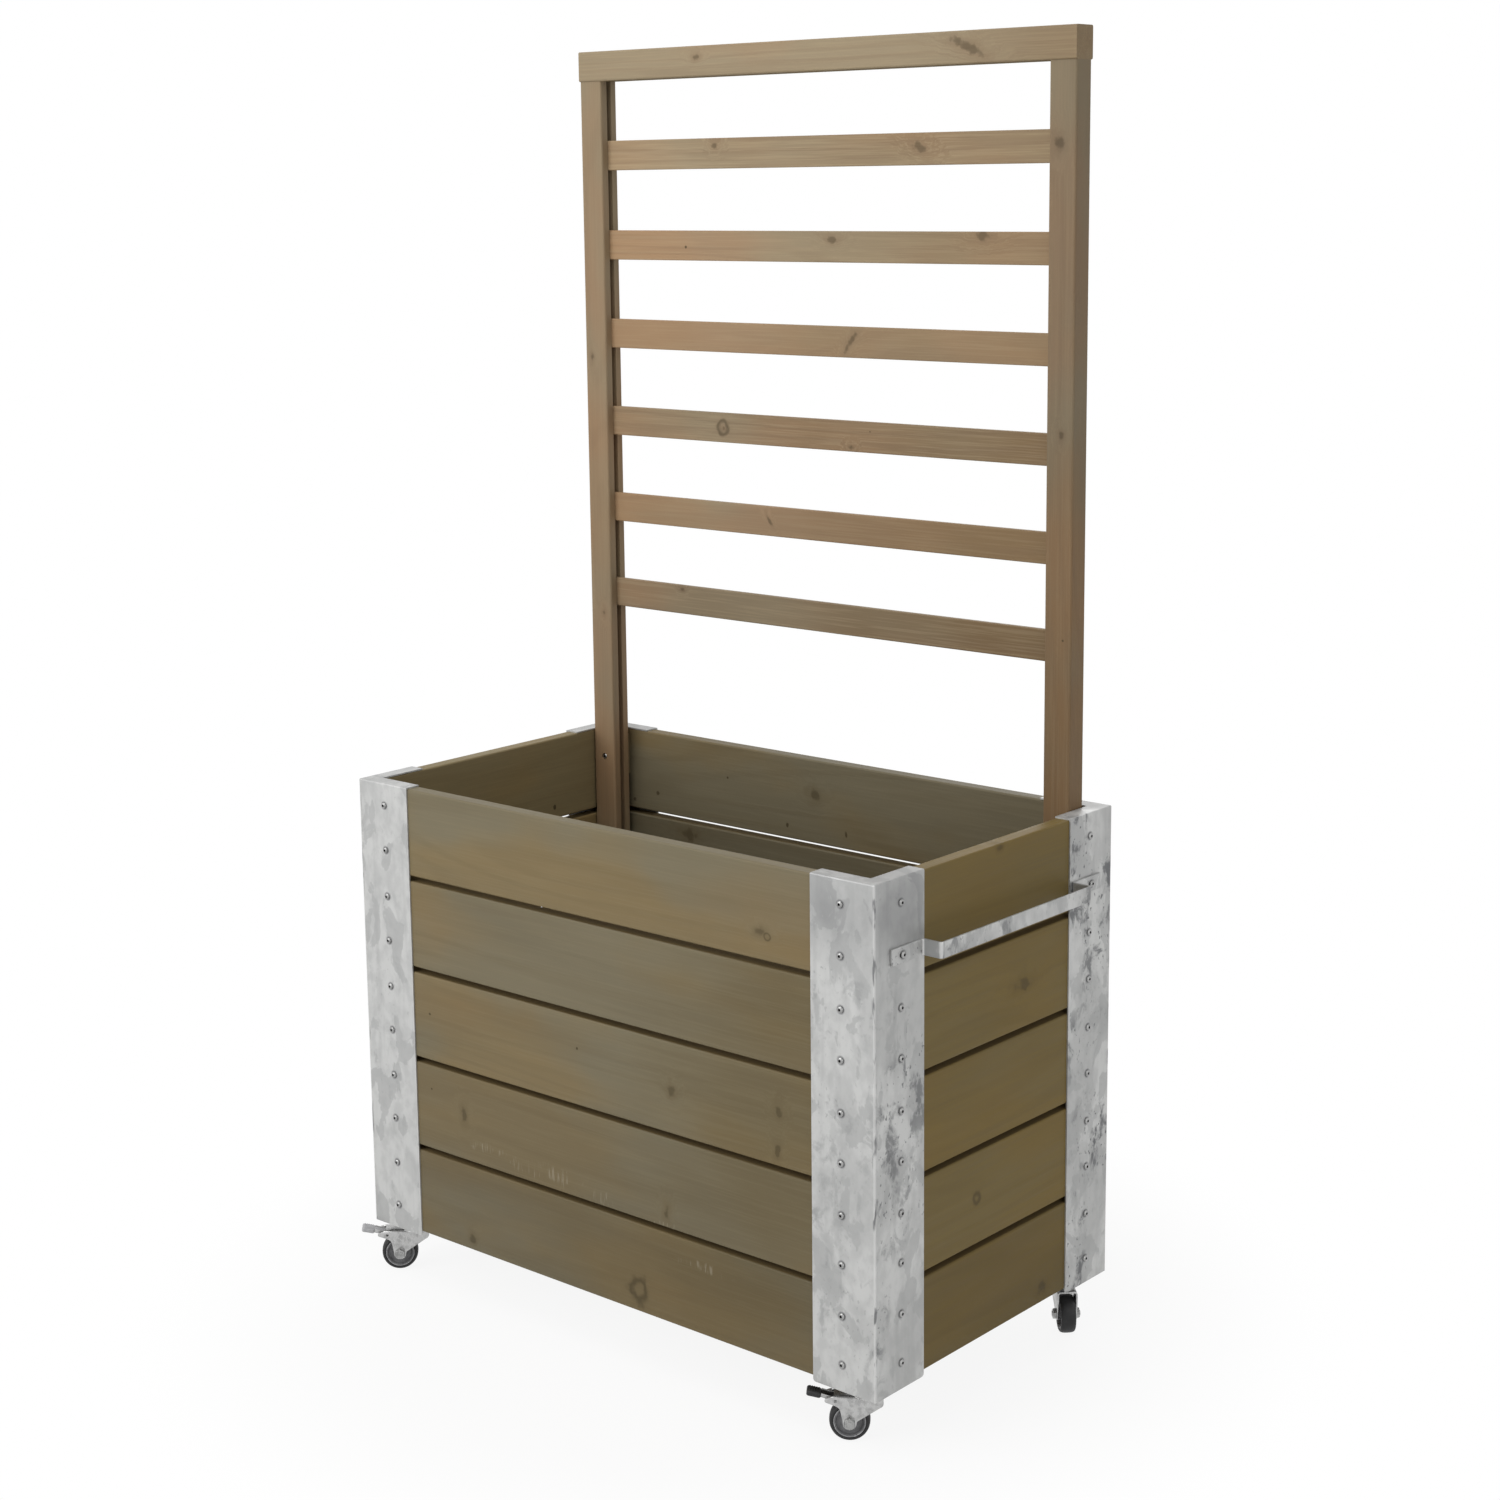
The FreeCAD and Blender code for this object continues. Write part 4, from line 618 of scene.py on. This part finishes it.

# Trellis posts: two square posts grooved for the slats, screwed to the back boards over small
# spacers. Their wood is coloured a little lighter, and the right one is soaked lower down.
TRELLIS_STAIN = ((0.345, 0.272, 0.172), (0.378, 0.250, 0.146))
POST_MARKS = {
    "knots": {"left": [(-0.405, 1.250, 0.004, 0.007), (-0.392, 0.880, 0.004, 0.006)],
              "right": [(0.392, 1.536, 0.008, 0.010), (0.400, 1.180, 0.004, 0.007)]},
    "dots": {"right": [(0.4056, 0.9226, 0.0015, 0.0015)]},
    "warm": {"left": [(-0.400, 0.62, 0.05, 0.12), (-0.400, 1.05, 0.05, 0.14)],
             "right": [(0.400, 0.84, 0.05, 0.36)]},
    "deep": {"right": [(0.400, 0.78, 0.06, 0.34)]},
}
POST_LOOKS = {"left": (51, 0.82, 0.42), "right": (53, 0.68, 0.90)}
for side, (seed, tone, heat) in POST_LOOKS.items():
    dress(f"{side}_post", stained_wood(f"{side}_post_wood", "Z", seed, TRELLIS_STAIN, tone, 0.62, lines=80,
                                       heat=heat, soak=0.50, **marks_on(POST_MARKS, side)))
dress("post_spacers", stained_wood("spacer_wood", "Z", 55, WALL_STAIN, 0.9, 0.7))

# Trellis slats and rail: six thin slats glued in the posts' grooves, and a rail screwed down over
# the posts' ends. Each was stained by itself, and the slats are darker towards the right.
SLAT_MARKS = {
    "knots": {1: [(-0.176, 1.544, 0.006, 0.006), (0.172, 1.535, 0.014, 0.0062, -23)],
              2: [(0.028, 1.418, 0.010, 0.005), (0.272, 1.425, 0.014, 0.007)],
              3: [(0.058, 1.285, 0.017, 0.0046, 53)],
              4: [(-0.167, 1.160, 0.003, 0.003), (0.058, 1.146, 0.005, 0.004)],
              5: [(-0.085, 1.036, 0.010, 0.0028, -58)],
              6: [(-0.249, 0.926, 0.004, 0.003)]},
    "rings": {4: [(-0.167, 1.160, 0.010, 0.009)]},
    "dots": {2: [(-0.232, 1.407, 0.002, 0.002)], 4: [(0.090, 1.168, 0.002, 0.002)]},
}
SLAT_LOOKS = {1: (1.00, 0.60, 2.0, 0.50), 2: (0.99, 0.85, 1.3, 0.50), 3: (1.00, 0.95, 1.1, 0.60),
              4: (0.85, 0.70, 2.0, 0.90), 5: (0.92, 0.80, 1.1, 0.90), 6: (0.79, 0.45, 2.2, 0.88)}
WARM_INSET = 0.05
WARM_REACH = (0.13, 0.06)
RIGHT_END_DARKENING = (0.46, 0.20)
for row, (tone, warmth, depth, soak) in SLAT_LOOKS.items():
    low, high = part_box(f"trellis_slat_{row}")
    middle = (low.z + high.z) / 2
    # Each slat is warmer at its left end and darker towards its right end.
    left_end = [(low.x + WARM_INSET, middle, *WARM_REACH)]
    right_end = [(high.x, middle, *RIGHT_END_DARKENING)]
    dress(f"trellis_slat_{row}", stained_wood(f"slat_wood_{row}", "X", 60 + row, TRELLIS_STAIN, tone, warmth,
                                              lines=85, depth=depth, soak=soak, warm=left_end,
                                              deep=right_end, **marks_on(SLAT_MARKS, row)))
rail_knots = [(0.257, 1.656, 0.028, 0.0066, -23), (-0.198, 1.661, 0.007, 0.004)]
rail_end = [(0.400, 1.655, 0.130, 0.060)]
# Painted shade darkens the rail's underside, where it sits over the posts.
dress("top_rail", stained_wood("rail_wood", "X", 57, TRELLIS_STAIN, 0.96, 0.40, lines=80, depth=1.3,
                               gap_shade="under", knots=rail_knots, deep=rail_end))

# Long screws: the same kind, larger, sunk in round recesses. They hold the posts to the back
# boards, the rail to the posts and the bearers to the long walls.
LONG_SHANK = (0.00225, 0.052)
LONG_HEAD_SIZE = 1.05
RECESS = 0.0032
SCREWED_ROWS = (2, 5)
POST_SCREW_RISE = 0.022
RAIL_SCREW_SHIFT = 0.008
BEARER_THICKNESS = 0.038
BEARER_ENDS = 0.22
long_seats = []
rail_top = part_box("top_rail")[1].z
for side, label in ((-1, "left"), (1, "right")):
    low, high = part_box(f"{label}_post")
    post_x = (low.x + high.x) / 2
    for row in SCREWED_ROWS:
        board_low, board_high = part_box(f"back_board_{row}")
        height = (board_low.z + board_high.z) / 2 + POST_SCREW_RISE
        long_seats.append(((post_x, low.y + RECESS, height), (0, -1, 0)))
    rail_seat = (post_x + side * RAIL_SCREW_SHIFT, (low.y + high.y) / 2, rail_top - RECESS)
    long_seats.append((rail_seat, (0, 0, 1)))
low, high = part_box("floor_bearers")
bearer_pitch = (high.x - low.x - BEARER_ENDS) / 3
for side in (-1, 1):
    bearer_y = side * (high.y - BEARER_THICKNESS + RECESS)
    for share in (-1.5, -0.5, 0.5, 1.5):
        long_seats.append(((share * bearer_pitch, bearer_y, (low.z + high.z) / 2), (0, -side, 0)))
set_screws("long_screw_set", long_seats, star_drive_screw(*LONG_SHANK, LONG_HEAD_SIZE), "long_screws")

# Castor plates and bolts: a bright plated plate with a swivel pin under each corner, held to the
# corner's foot by four bolts with nuts. Each castor has its own axes, with +X the way it trails.
PLATE_HALF = 0.030
plates_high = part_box("castor_plates")[1]
SWIVEL_X = plates_high.x - PLATE_HALF
SWIVEL_Y = plates_high.y - PLATE_HALF
CASTOR_TURNS = {"front_left": (-1, -1, 226), "front_right": (1, -1, 217), "rear_left": (-1, 1, 100),
                "rear_right": (1, 1, 314)}
plated = bright_steel("plated_steel", (0.52, 0.52, 0.515), 0.32)
dress("castor_plates", plated)
dress("castor_bolts", screw_finish)


def fit_to_castor(shape, corner, name, finish, body, slot, *stands_for, crease=34):
    """Move a shape from a castor's own axes, at the foot of its swivel, to a corner, and set it there."""
    side_x, side_y, turn = CASTOR_TURNS[corner]
    stand = Matrix.Translation((side_x * SWIVEL_X, side_y * SWIVEL_Y, 0))
    trail = Matrix.Rotation(math.radians(turn), 4, "Z")
    bmesh.ops.transform(shape, matrix=stand @ trail, verts=shape.verts)
    stood_for = [f"{node}_{corner}" for node in stands_for]
    return set_in_place(shape, f"{name}_{corner}", finish, f"{body}_{corner}", slot, *stood_for,
                        crease=crease)


# Forks: one pressed and plated sheet each, folded down on both sides of the wheel and hung on the
# swivel pin. The braked ones reach back over the wheel to carry the pedal's pin.
FORK_METAL = 0.0022
FORK_EASE = 0.0004
FORK_TOP = 0.0595
FORK_HALF = 0.0134
FORK_FOLD = 0.0034
FORK_SHEET_Z = FORK_TOP - FORK_METAL / 2
FORK_SHEET_Y = FORK_HALF - FORK_METAL / 2
FORK_NOSE = (-0.0170, FORK_SHEET_Z, 0)
FORK_WAIST = [(0.0359, 0.0439, 0.0035), (0.0325, 0.0270, 0.0022), (0.0325, 0.0165, 0.0080),
              (0.0155, 0.0165, 0.0080), (0.0155, 0.0270, 0.0022), (-0.0170, 0.0478, 0.0030)]
PLAIN_TAIL = [(0.0359, FORK_SHEET_Z, 0)]
BRAKE_TAIL = [(0.0430, FORK_SHEET_Z, 0), (0.0540, 0.0553, 0.0017), (0.0540, 0.0515, 0.0017),
              (0.0420, 0.0470, 0.0030)]
BRAKED = ("front_left", "front_right")


def loop_of(shape, points):
    """A closed loop of edges through points."""
    verts = [shape.verts.new(point) for point in points]
    return verts, [shape.edges.new(pair) for pair in zip(verts, verts[1:] + verts[:1])]


def ease_edges(shape, edges, width, segments):
    """Round some edges of a shape."""
    bmesh.ops.bevel(shape, geom=edges, offset=width, segments=segments, profile=0.5, affect="EDGES",
                    material=-1)


for corner in CASTOR_TURNS:
    sheet = bmesh.new()
    outline = [FORK_NOSE, *(BRAKE_TAIL if corner in BRAKED else PLAIN_TAIL), *FORK_WAIST]
    tops = []
    roundings = {}
    for side in (-1, 1):
        verts, edges = loop_of(sheet, [(x, side * FORK_SHEET_Y, z) for x, z, _ in outline])
        tops.append(edges[0])
        sheet.faces.new(verts)
        for vert, (_, _, radius) in zip(verts, outline):
            roundings.setdefault(radius, []).append(vert)
    bmesh.ops.bridge_loops(sheet, edges=tops)
    bmesh.ops.recalc_face_normals(sheet, faces=sheet.faces)
    for radius, corners in roundings.items():
        if radius:
            bmesh.ops.bevel(sheet, geom=corners, offset=radius, segments=6, profile=0.5, affect="VERTICES",
                            material=-1, clamp_overlap=True)
    folds = edges_at(sheet, lambda co: co.z > FORK_SHEET_Z - SAME_PLACE)
    folds = [edge for edge in folds if abs(edge.verts[0].co.y - edge.verts[1].co.y) < SAME_PLACE]
    ease_edges(sheet, folds, FORK_FOLD, 5)
    fork = fit_to_castor(sheet, corner, "pressed_fork", plated, "swivel", "zinc_steel", "castor_fork")
    thicken(fork, FORK_METAL, FORK_EASE)

# Ball races: two dished plated rings, pressed round a row of balls between each fork and its
# plate. They are shown as the one closed ring that can be seen.
RACE_SIDES = 48
RACE_SECTION = [(0.0056, 0.0575), (0.0206, 0.0575), (0.0210, 0.0583), (0.0207, 0.0593), (0.0192, 0.0600),
                (0.0180, 0.0606), (0.0178, 0.0634), (0.0172, 0.0641), (0.0056, 0.0641)]


def turn_round(shape, points, centre, axis, steps):
    """Spin a closed loop of points a full turn about an axis."""
    verts, edges = loop_of(shape, points)
    bmesh.ops.spin(shape, geom=verts + edges, cent=centre, axis=axis, angle=2 * math.pi, steps=steps,
                   use_merge=True)


for corner in CASTOR_TURNS:
    race = bmesh.new()
    section = [(radius, 0, height) for radius, height in RACE_SECTION]
    turn_round(race, section, (0, 0, 0), (0, 0, 1), RACE_SIDES)
    fit_to_castor(race, corner, "ball_race", plated, "swivel", "zinc_steel")

# Axles: a plated bolt through each fork, with a hexagon head on one side and a nut on the other.
# It is fixed in the fork, and its ends stand a little proud.
TRAIL = 0.024
WHEEL_RADIUS = 0.025
AXLE_MIDDLE = (TRAIL, 0, WHEEL_RADIUS)
AXLE_RADIUS = 0.0040
AXLE_OVERHANG = 0.0105
HEX_ACROSS = 0.013
HEX_HEIGHT = 0.0044
EASED_SHARE = 0.12


def hex_head(shape, centre, out, across, height):
    """A hexagon head or nut with chamfered corners, standing out along Y."""
    before = set(shape.verts)
    bmesh.ops.create_cone(shape, cap_ends=True, segments=6, radius1=across / math.sqrt(3),
                          radius2=across / math.sqrt(3), depth=height)
    made = [vert for vert in shape.verts if vert not in before]
    rim = [edge for edge in shape.edges if all(vert in made and vert.co.z > 0 for vert in edge.verts)]
    ease_edges(shape, rim, EASED_SHARE * across, 2)
    made = [vert for vert in shape.verts if vert not in before]
    lay_down = Matrix.Rotation(-out * math.pi / 2, 4, "X")
    move = Matrix.Translation((centre[0], centre[1] + out * height / 2, centre[2]))
    bmesh.ops.transform(shape, matrix=move @ lay_down, verts=made)


def round_bar(shape, centre, radius, length, steps=24):
    """A round bar along Y with eased ends."""
    before = set(shape.verts)
    bmesh.ops.create_cone(shape, cap_ends=True, segments=steps, radius1=radius, radius2=radius, depth=length)
    made = [edge for edge in shape.edges if all(vert not in before for vert in edge.verts)]
    rims = [edge for edge in made if abs(edge.verts[0].co.z - edge.verts[1].co.z) < SAME_PLACE]
    ease_edges(shape, rims, EASED_SHARE * radius, 2)
    made = [vert for vert in shape.verts if vert not in before]
    lay_down = Matrix.Rotation(math.pi / 2, 4, "X")
    bmesh.ops.transform(shape, matrix=Matrix.Translation(centre) @ lay_down, verts=made)


for corner in CASTOR_TURNS:
    axle = bmesh.new()
    round_bar(axle, AXLE_MIDDLE, AXLE_RADIUS, 2 * FORK_HALF + AXLE_OVERHANG)
    for out in (-1, 1):
        hex_head(axle, (TRAIL, out * FORK_HALF, WHEEL_RADIUS), out, HEX_ACROSS, HEX_HEIGHT)
    fit_to_castor(axle, corner, "axle_bolt", screw_finish, "swivel", "screw_steel", "castor_axle")

# Wheels: a grey plastic core moulded in one piece, with a hub, a dished face and a raised rim on
# both sides. It turns on the axle.
WHEEL_SIDES = 64
WHEEL_FACE = [(0.00405, 0.0109), (0.0080, 0.0109), (0.0085, 0.0104), (0.0088, 0.0062), (0.0098, 0.0050),
              (0.0150, 0.0046), (0.0164, 0.0056), (0.0169, 0.0084), (0.0175, 0.0092), (0.0184, 0.0092),
              (0.0190, 0.0088), (0.0199, 0.0084)]


def moulded(name, colour, roughness, grain_scale, dust_level=0.012):
    """Moulded plastic or rubber with a fine skin and a little dust."""
    plastic, texture = new_finish(name)
    place = texture["Object"]
    skin = finish_node(plastic, "TexNoise", {"Vector": place, "Scale": grain_scale, "Detail": 3.0})
    dust = finish_node(plastic, "TexNoise", {"Vector": place, "Scale": 70.0, "Detail": 5.0,
                                             "Roughness": 0.65})
    dusty = [1.5 * part + dust_level for part in colour]
    dusted = coat_over(plastic, spread(plastic, dust, 0.48, 0.72), colour, dusty)
    gloss = spread(plastic, dust, 0.3, 0.7, roughness - 0.06, roughness + 0.1)
    settle(plastic, dusted, gloss, skin, strength=0.15, distance=0.0002)
    return plastic


def turn_on_axle(shape, section, steps):
    """Spin a closed section, as (radius, across) points, round the axle."""
    points = [(TRAIL + radius, across, WHEEL_RADIUS) for radius, across in section]
    turn_round(shape, points, AXLE_MIDDLE, (0, 1, 0), steps)


def on_both_sides(half_section):
    """A wheel's closed section, from the half of it on one side."""
    return half_section + [(radius, -across) for radius, across in half_section[::-1]]


wheel_plastic = moulded("wheel_plastic", (0.16, 0.16, 0.165), 0.42, 700.0)
for corner in CASTOR_TURNS:
    core = bmesh.new()
    turn_on_axle(core, on_both_sides(WHEEL_FACE), WHEEL_SIDES)
    fit_to_castor(core, corner, "wheel_core", wheel_plastic, "wheel", "wheel_plastic", "castor_wheel")

# Rim rings: a thin light grey ring on each side of a wheel where the core meets the tyre, a painted
# highlight on the rim's lip. They turn with the wheel.
RIM_HIGHLIGHT_SECTION = [(0.0186, 0.0084), (0.0187, 0.0094), (0.0190, 0.0098), (0.0194, 0.0098), (0.0197, 0.0094),
                (0.0198, 0.0084)]
grey_plastic = moulded("pedal_grey", (0.42, 0.42, 0.43), 0.42, 800.0)
for corner in CASTOR_TURNS:
    ring = bmesh.new()
    for side in (-1, 1):
        turn_on_axle(ring, [(radius, side * out) for radius, out in RIM_HIGHLIGHT_SECTION], WHEEL_SIDES)
    # The rings use the grey pedal's plastic to paint the highlight on the rim's lip.
    fit_to_castor(ring, corner, "rim_highlight_ring", grey_plastic, "wheel", "grey_plastic")

# Tyres: black rubber, moulded on the cores with a crowned tread and rounded shoulders. They have
# a matt skin and hold a little dust.
TYRE_SIDES = 72
TYRE_WALL = [(0.02005, 0.0090), (0.0203, 0.0096), (0.0212, 0.0100), (0.0222, 0.0099), (0.0232, 0.0093),
             (0.0241, 0.0080), (0.0247, 0.0058), (0.0250, 0.0028)]
tyre_rubber = moulded("tyre_rubber", (0.010, 0.010, 0.0105), 0.60, 900.0, 0.003)
for corner in CASTOR_TURNS:
    tyre = bmesh.new()
    turn_on_axle(tyre, on_both_sides(TYRE_WALL), TYRE_SIDES)
    fit_to_castor(tyre, corner, "rubber_tyre", tyre_rubber, "wheel", "tyre_rubber", "castor_tyre", crease=50)

# Brake pedals: moulded levers on a pin through the front forks, with a ribbed tread outside and a
# shoe over the tyre. The right one is black and the left one light grey.
LEVER_HALF = 0.0062
LEVER_EASE = 0.0008
LEVER_SIDE = [(0.0372, 0.0562), (0.0470, 0.0562), (0.0540, 0.0582), (0.0610, 0.0602), (0.0610, 0.0552),
              (0.0540, 0.0532), (0.0455, 0.0494), (0.0418, 0.0460), (0.0372, 0.0466)]
CAP_MIDDLE = (0.0672, 0, 0.0588)
CAP_SIZE = (0.0180, 0.0180, 0.0070)
CAP_SLOPE = math.atan2(0.004, 0.018)
CAP_EASE = 0.0026
RIB_SIZE = (0.0014, 0.0136, 0.0014)
RIB_PITCH = 0.0028
RIB_EASE = 0.0004


def eased_block(shape, place, size, ease, segments):
    """A block with all its edges rounded, in a place of its own."""
    before = set(shape.verts)
    bmesh.ops.create_cube(shape, size=1, matrix=place @ Matrix.Diagonal((*size, 1)))
    made = [edge for edge in shape.edges if all(vert not in before for vert in edge.verts)]
    ease_edges(shape, made, ease, segments)


black_plastic = moulded("pedal_black", (0.011, 0.011, 0.012), 0.44, 800.0, 0.003)
PEDAL_FINISHES = {"front_left": (grey_plastic, "grey_plastic"),
                  "front_right": (black_plastic, "black_plastic")}
for corner, (plastic, slot) in PEDAL_FINISHES.items():
    pedal = bmesh.new()
    verts, _ = loop_of(pedal, [(x, -LEVER_HALF, z) for x, z in LEVER_SIDE])
    cheek = pedal.faces.new(verts)
    grown = bmesh.ops.extrude_face_region(pedal, geom=[cheek])["geom"]
    across = [part for part in grown if isinstance(part, bmesh.types.BMVert)]
    bmesh.ops.translate(pedal, verts=across, vec=(0, 2 * LEVER_HALF, 0))
    rims = [edge for edge in pedal.edges if abs(edge.verts[0].co.y - edge.verts[1].co.y) < SAME_PLACE]
    ease_edges(pedal, rims, LEVER_EASE, 3)
    cap = Matrix.Translation(CAP_MIDDLE) @ Matrix.Rotation(-CAP_SLOPE, 4, "Y")
    eased_block(pedal, cap, CAP_SIZE, CAP_EASE, 5)
    for step in (-2, -1, 0, 1, 2):
        rib = cap @ Matrix.Translation((RIB_PITCH * step, 0, CAP_SIZE[2] / 2))
        eased_block(pedal, rib, RIB_SIZE, RIB_EASE, 2)
    fit_to_castor(pedal, corner, "brake_lever", plastic, "pedal", slot, "brake_pedal")

# Pedal straps and pins: a plated strap on each side of a lever, and the plated pin that it rocks
# on, which runs from one cheek of the fork to the other.
STRAP_SIZE = (0.0180, 0.0013, 0.0044)
STRAP_MIDDLE_X = 0.0500
STRAP_MIDDLE_Z = 0.0556
STRAP_PROUD = 0.0007
STRAP_SLOPE = 0.30
STRAP_EASE = 0.0005
PIN_MIDDLE = (0.041, 0, 0.053)
PIN_RADIUS = 0.0024
for corner in BRAKED:
    strap = bmesh.new()
    for side in (-1, 1):
        strap_middle = (STRAP_MIDDLE_X, side * (LEVER_HALF + STRAP_PROUD), STRAP_MIDDLE_Z)
        lie = Matrix.Translation(strap_middle) @ Matrix.Rotation(-STRAP_SLOPE, 4, "Y")
        eased_block(strap, lie, STRAP_SIZE, STRAP_EASE, 2)
    fit_to_castor(strap, corner, "brake_strap", plated, "pedal", "zinc_steel")

    pin = bmesh.new()
    round_bar(pin, PIN_MIDDLE, PIN_RADIUS, 2 * FORK_HALF)
    fit_to_castor(pin, corner, "brake_pin", screw_finish, "pedal", "screw_steel")

# Studio: a pale floor that runs out of sight, a white surround, and large soft lamps in front on
# the left and overhead, with weaker ones on the right and behind.
FLOOR_HALF = 30
FLOOR_COLOUR = (0.86, 0.86, 0.855, 1)
FLOOR_ROUGHNESS = 0.9
SURROUND_LIGHT = 0.40
LAMPS = [("front_lamp", (-1.6, -3.5, 2.2), (0, 0, 0.85), 2.8, 70),
         ("top_lamp", (-0.2, -1.0, 3.6), (0, 0.1, 1.0), 2.0, 28),
         ("right_lamp", (3.6, -0.8, 1.6), (0, 0, 0.6), 1.8, 13),
         ("back_lamp", (-0.9, 3.7, 2.0), (0, 0, 0.7), 2.4, 26)]


def seen_directly(look):
    """One where the camera, a mirror or glass sees a surface, and nought where it only gives light."""
    rays = look.node_tree.nodes.new("ShaderNodeLightPath").outputs
    mirrored = reckon(look, "MAXIMUM", rays["Is Glossy Ray"], rays["Is Transmission Ray"])
    return reckon(look, "MAXIMUM", rays["Is Camera Ray"], mirrored)


floor = bmesh.new()
bmesh.ops.create_grid(floor, x_segments=1, y_segments=1, size=FLOOR_HALF)
floor_mesh = bpy.data.meshes.new("studio_floor")
floor.to_mesh(floor_mesh)
floor.free()
studio_floor = bpy.data.objects.new("studio_floor", floor_mesh)
bpy.context.scene.collection.objects.link(studio_floor)
pale_floor, floor_texture = new_finish("pale_floor")
surface = pale_floor.node_tree.nodes["Principled BSDF"]
surface.inputs["Base Color"].default_value = FLOOR_COLOUR
surface.inputs["Roughness"].default_value = FLOOR_ROUGHNESS
from_middle = nearest_mark(pale_floor, floor_texture["Object"], [((0, 0, 0), (1, 1, 1))], (1, 1, 0))
whiteness = spread(pale_floor, from_middle, 0.45, 0.85, 0.90, 1.0)
white_share = times(pale_floor, seen_directly(pale_floor), whiteness)
white = finish_node(pale_floor, "Emission", {"Strength": 1.0})
floor_look = finish_node(pale_floor, "MixShader", {0: white_share, 1: surface.outputs[0], 2: white})
pale_floor.node_tree.links.new(floor_look, pale_floor.node_tree.nodes["Material Output"].inputs["Surface"])
floor_mesh.materials.append(pale_floor)

world = bpy.data.worlds.new("white_studio")
world.use_nodes = True
bpy.context.scene.world = world
sky = world.node_tree.nodes["Background"]
level = finish_node(world, "MapRange", {"Value": seen_directly(world), "To Min": SURROUND_LIGHT,
                                        "To Max": 1.0})
world.node_tree.links.new(level, sky.inputs["Strength"])
sky.inputs["Color"].default_value = (1, 1, 1, 1)

for name, place, target, size, power in LAMPS:
    lamp = bpy.data.lights.new(name, "AREA")
    lamp.size = size
    lamp.energy = power
    holder = bpy.data.objects.new(name, lamp)
    holder.location = place
    holder.rotation_euler = (Vector(target) - Vector(place)).to_track_quat("-Z", "Y").to_euler()
    bpy.context.scene.collection.objects.link(holder)

# Camera: it stands at eye height in front of the right corner, turned a little down. Its place and
# turns follow the edges of the box, the trellis and the castors.
FOCAL_PIXELS = 2593.23
PICTURE_PIXELS = 1500
SENSOR_WIDTH = 36
VIEW_SHIFT = -0.060
NEAREST_SEEN = 0.05
CAMERA_PLACE = (2.19944, -2.50259, 1.49002)
YAW = math.radians(40.6984)
PITCH = math.radians(10.3751)
ROLL = math.radians(-0.6406)
view = bpy.data.cameras.new("front_right_view")
view.sensor_width = SENSOR_WIDTH
view.lens = FOCAL_PIXELS / PICTURE_PIXELS * SENSOR_WIDTH
view.shift_y = VIEW_SHIFT
view.clip_start = NEAREST_SEEN
camera = bpy.data.objects.new("front_right_view", view)
camera.location = CAMERA_PLACE
camera.rotation_euler = (Matrix.Rotation(YAW, 3, "Z") @ Matrix.Rotation(math.pi / 2 - PITCH, 3, "X")
                         @ Matrix.Rotation(ROLL, 3, "Z")).to_euler()
bpy.context.scene.collection.objects.link(camera)
bpy.context.scene.camera = camera
bpy.context.scene.view_settings.view_transform = "Standard"
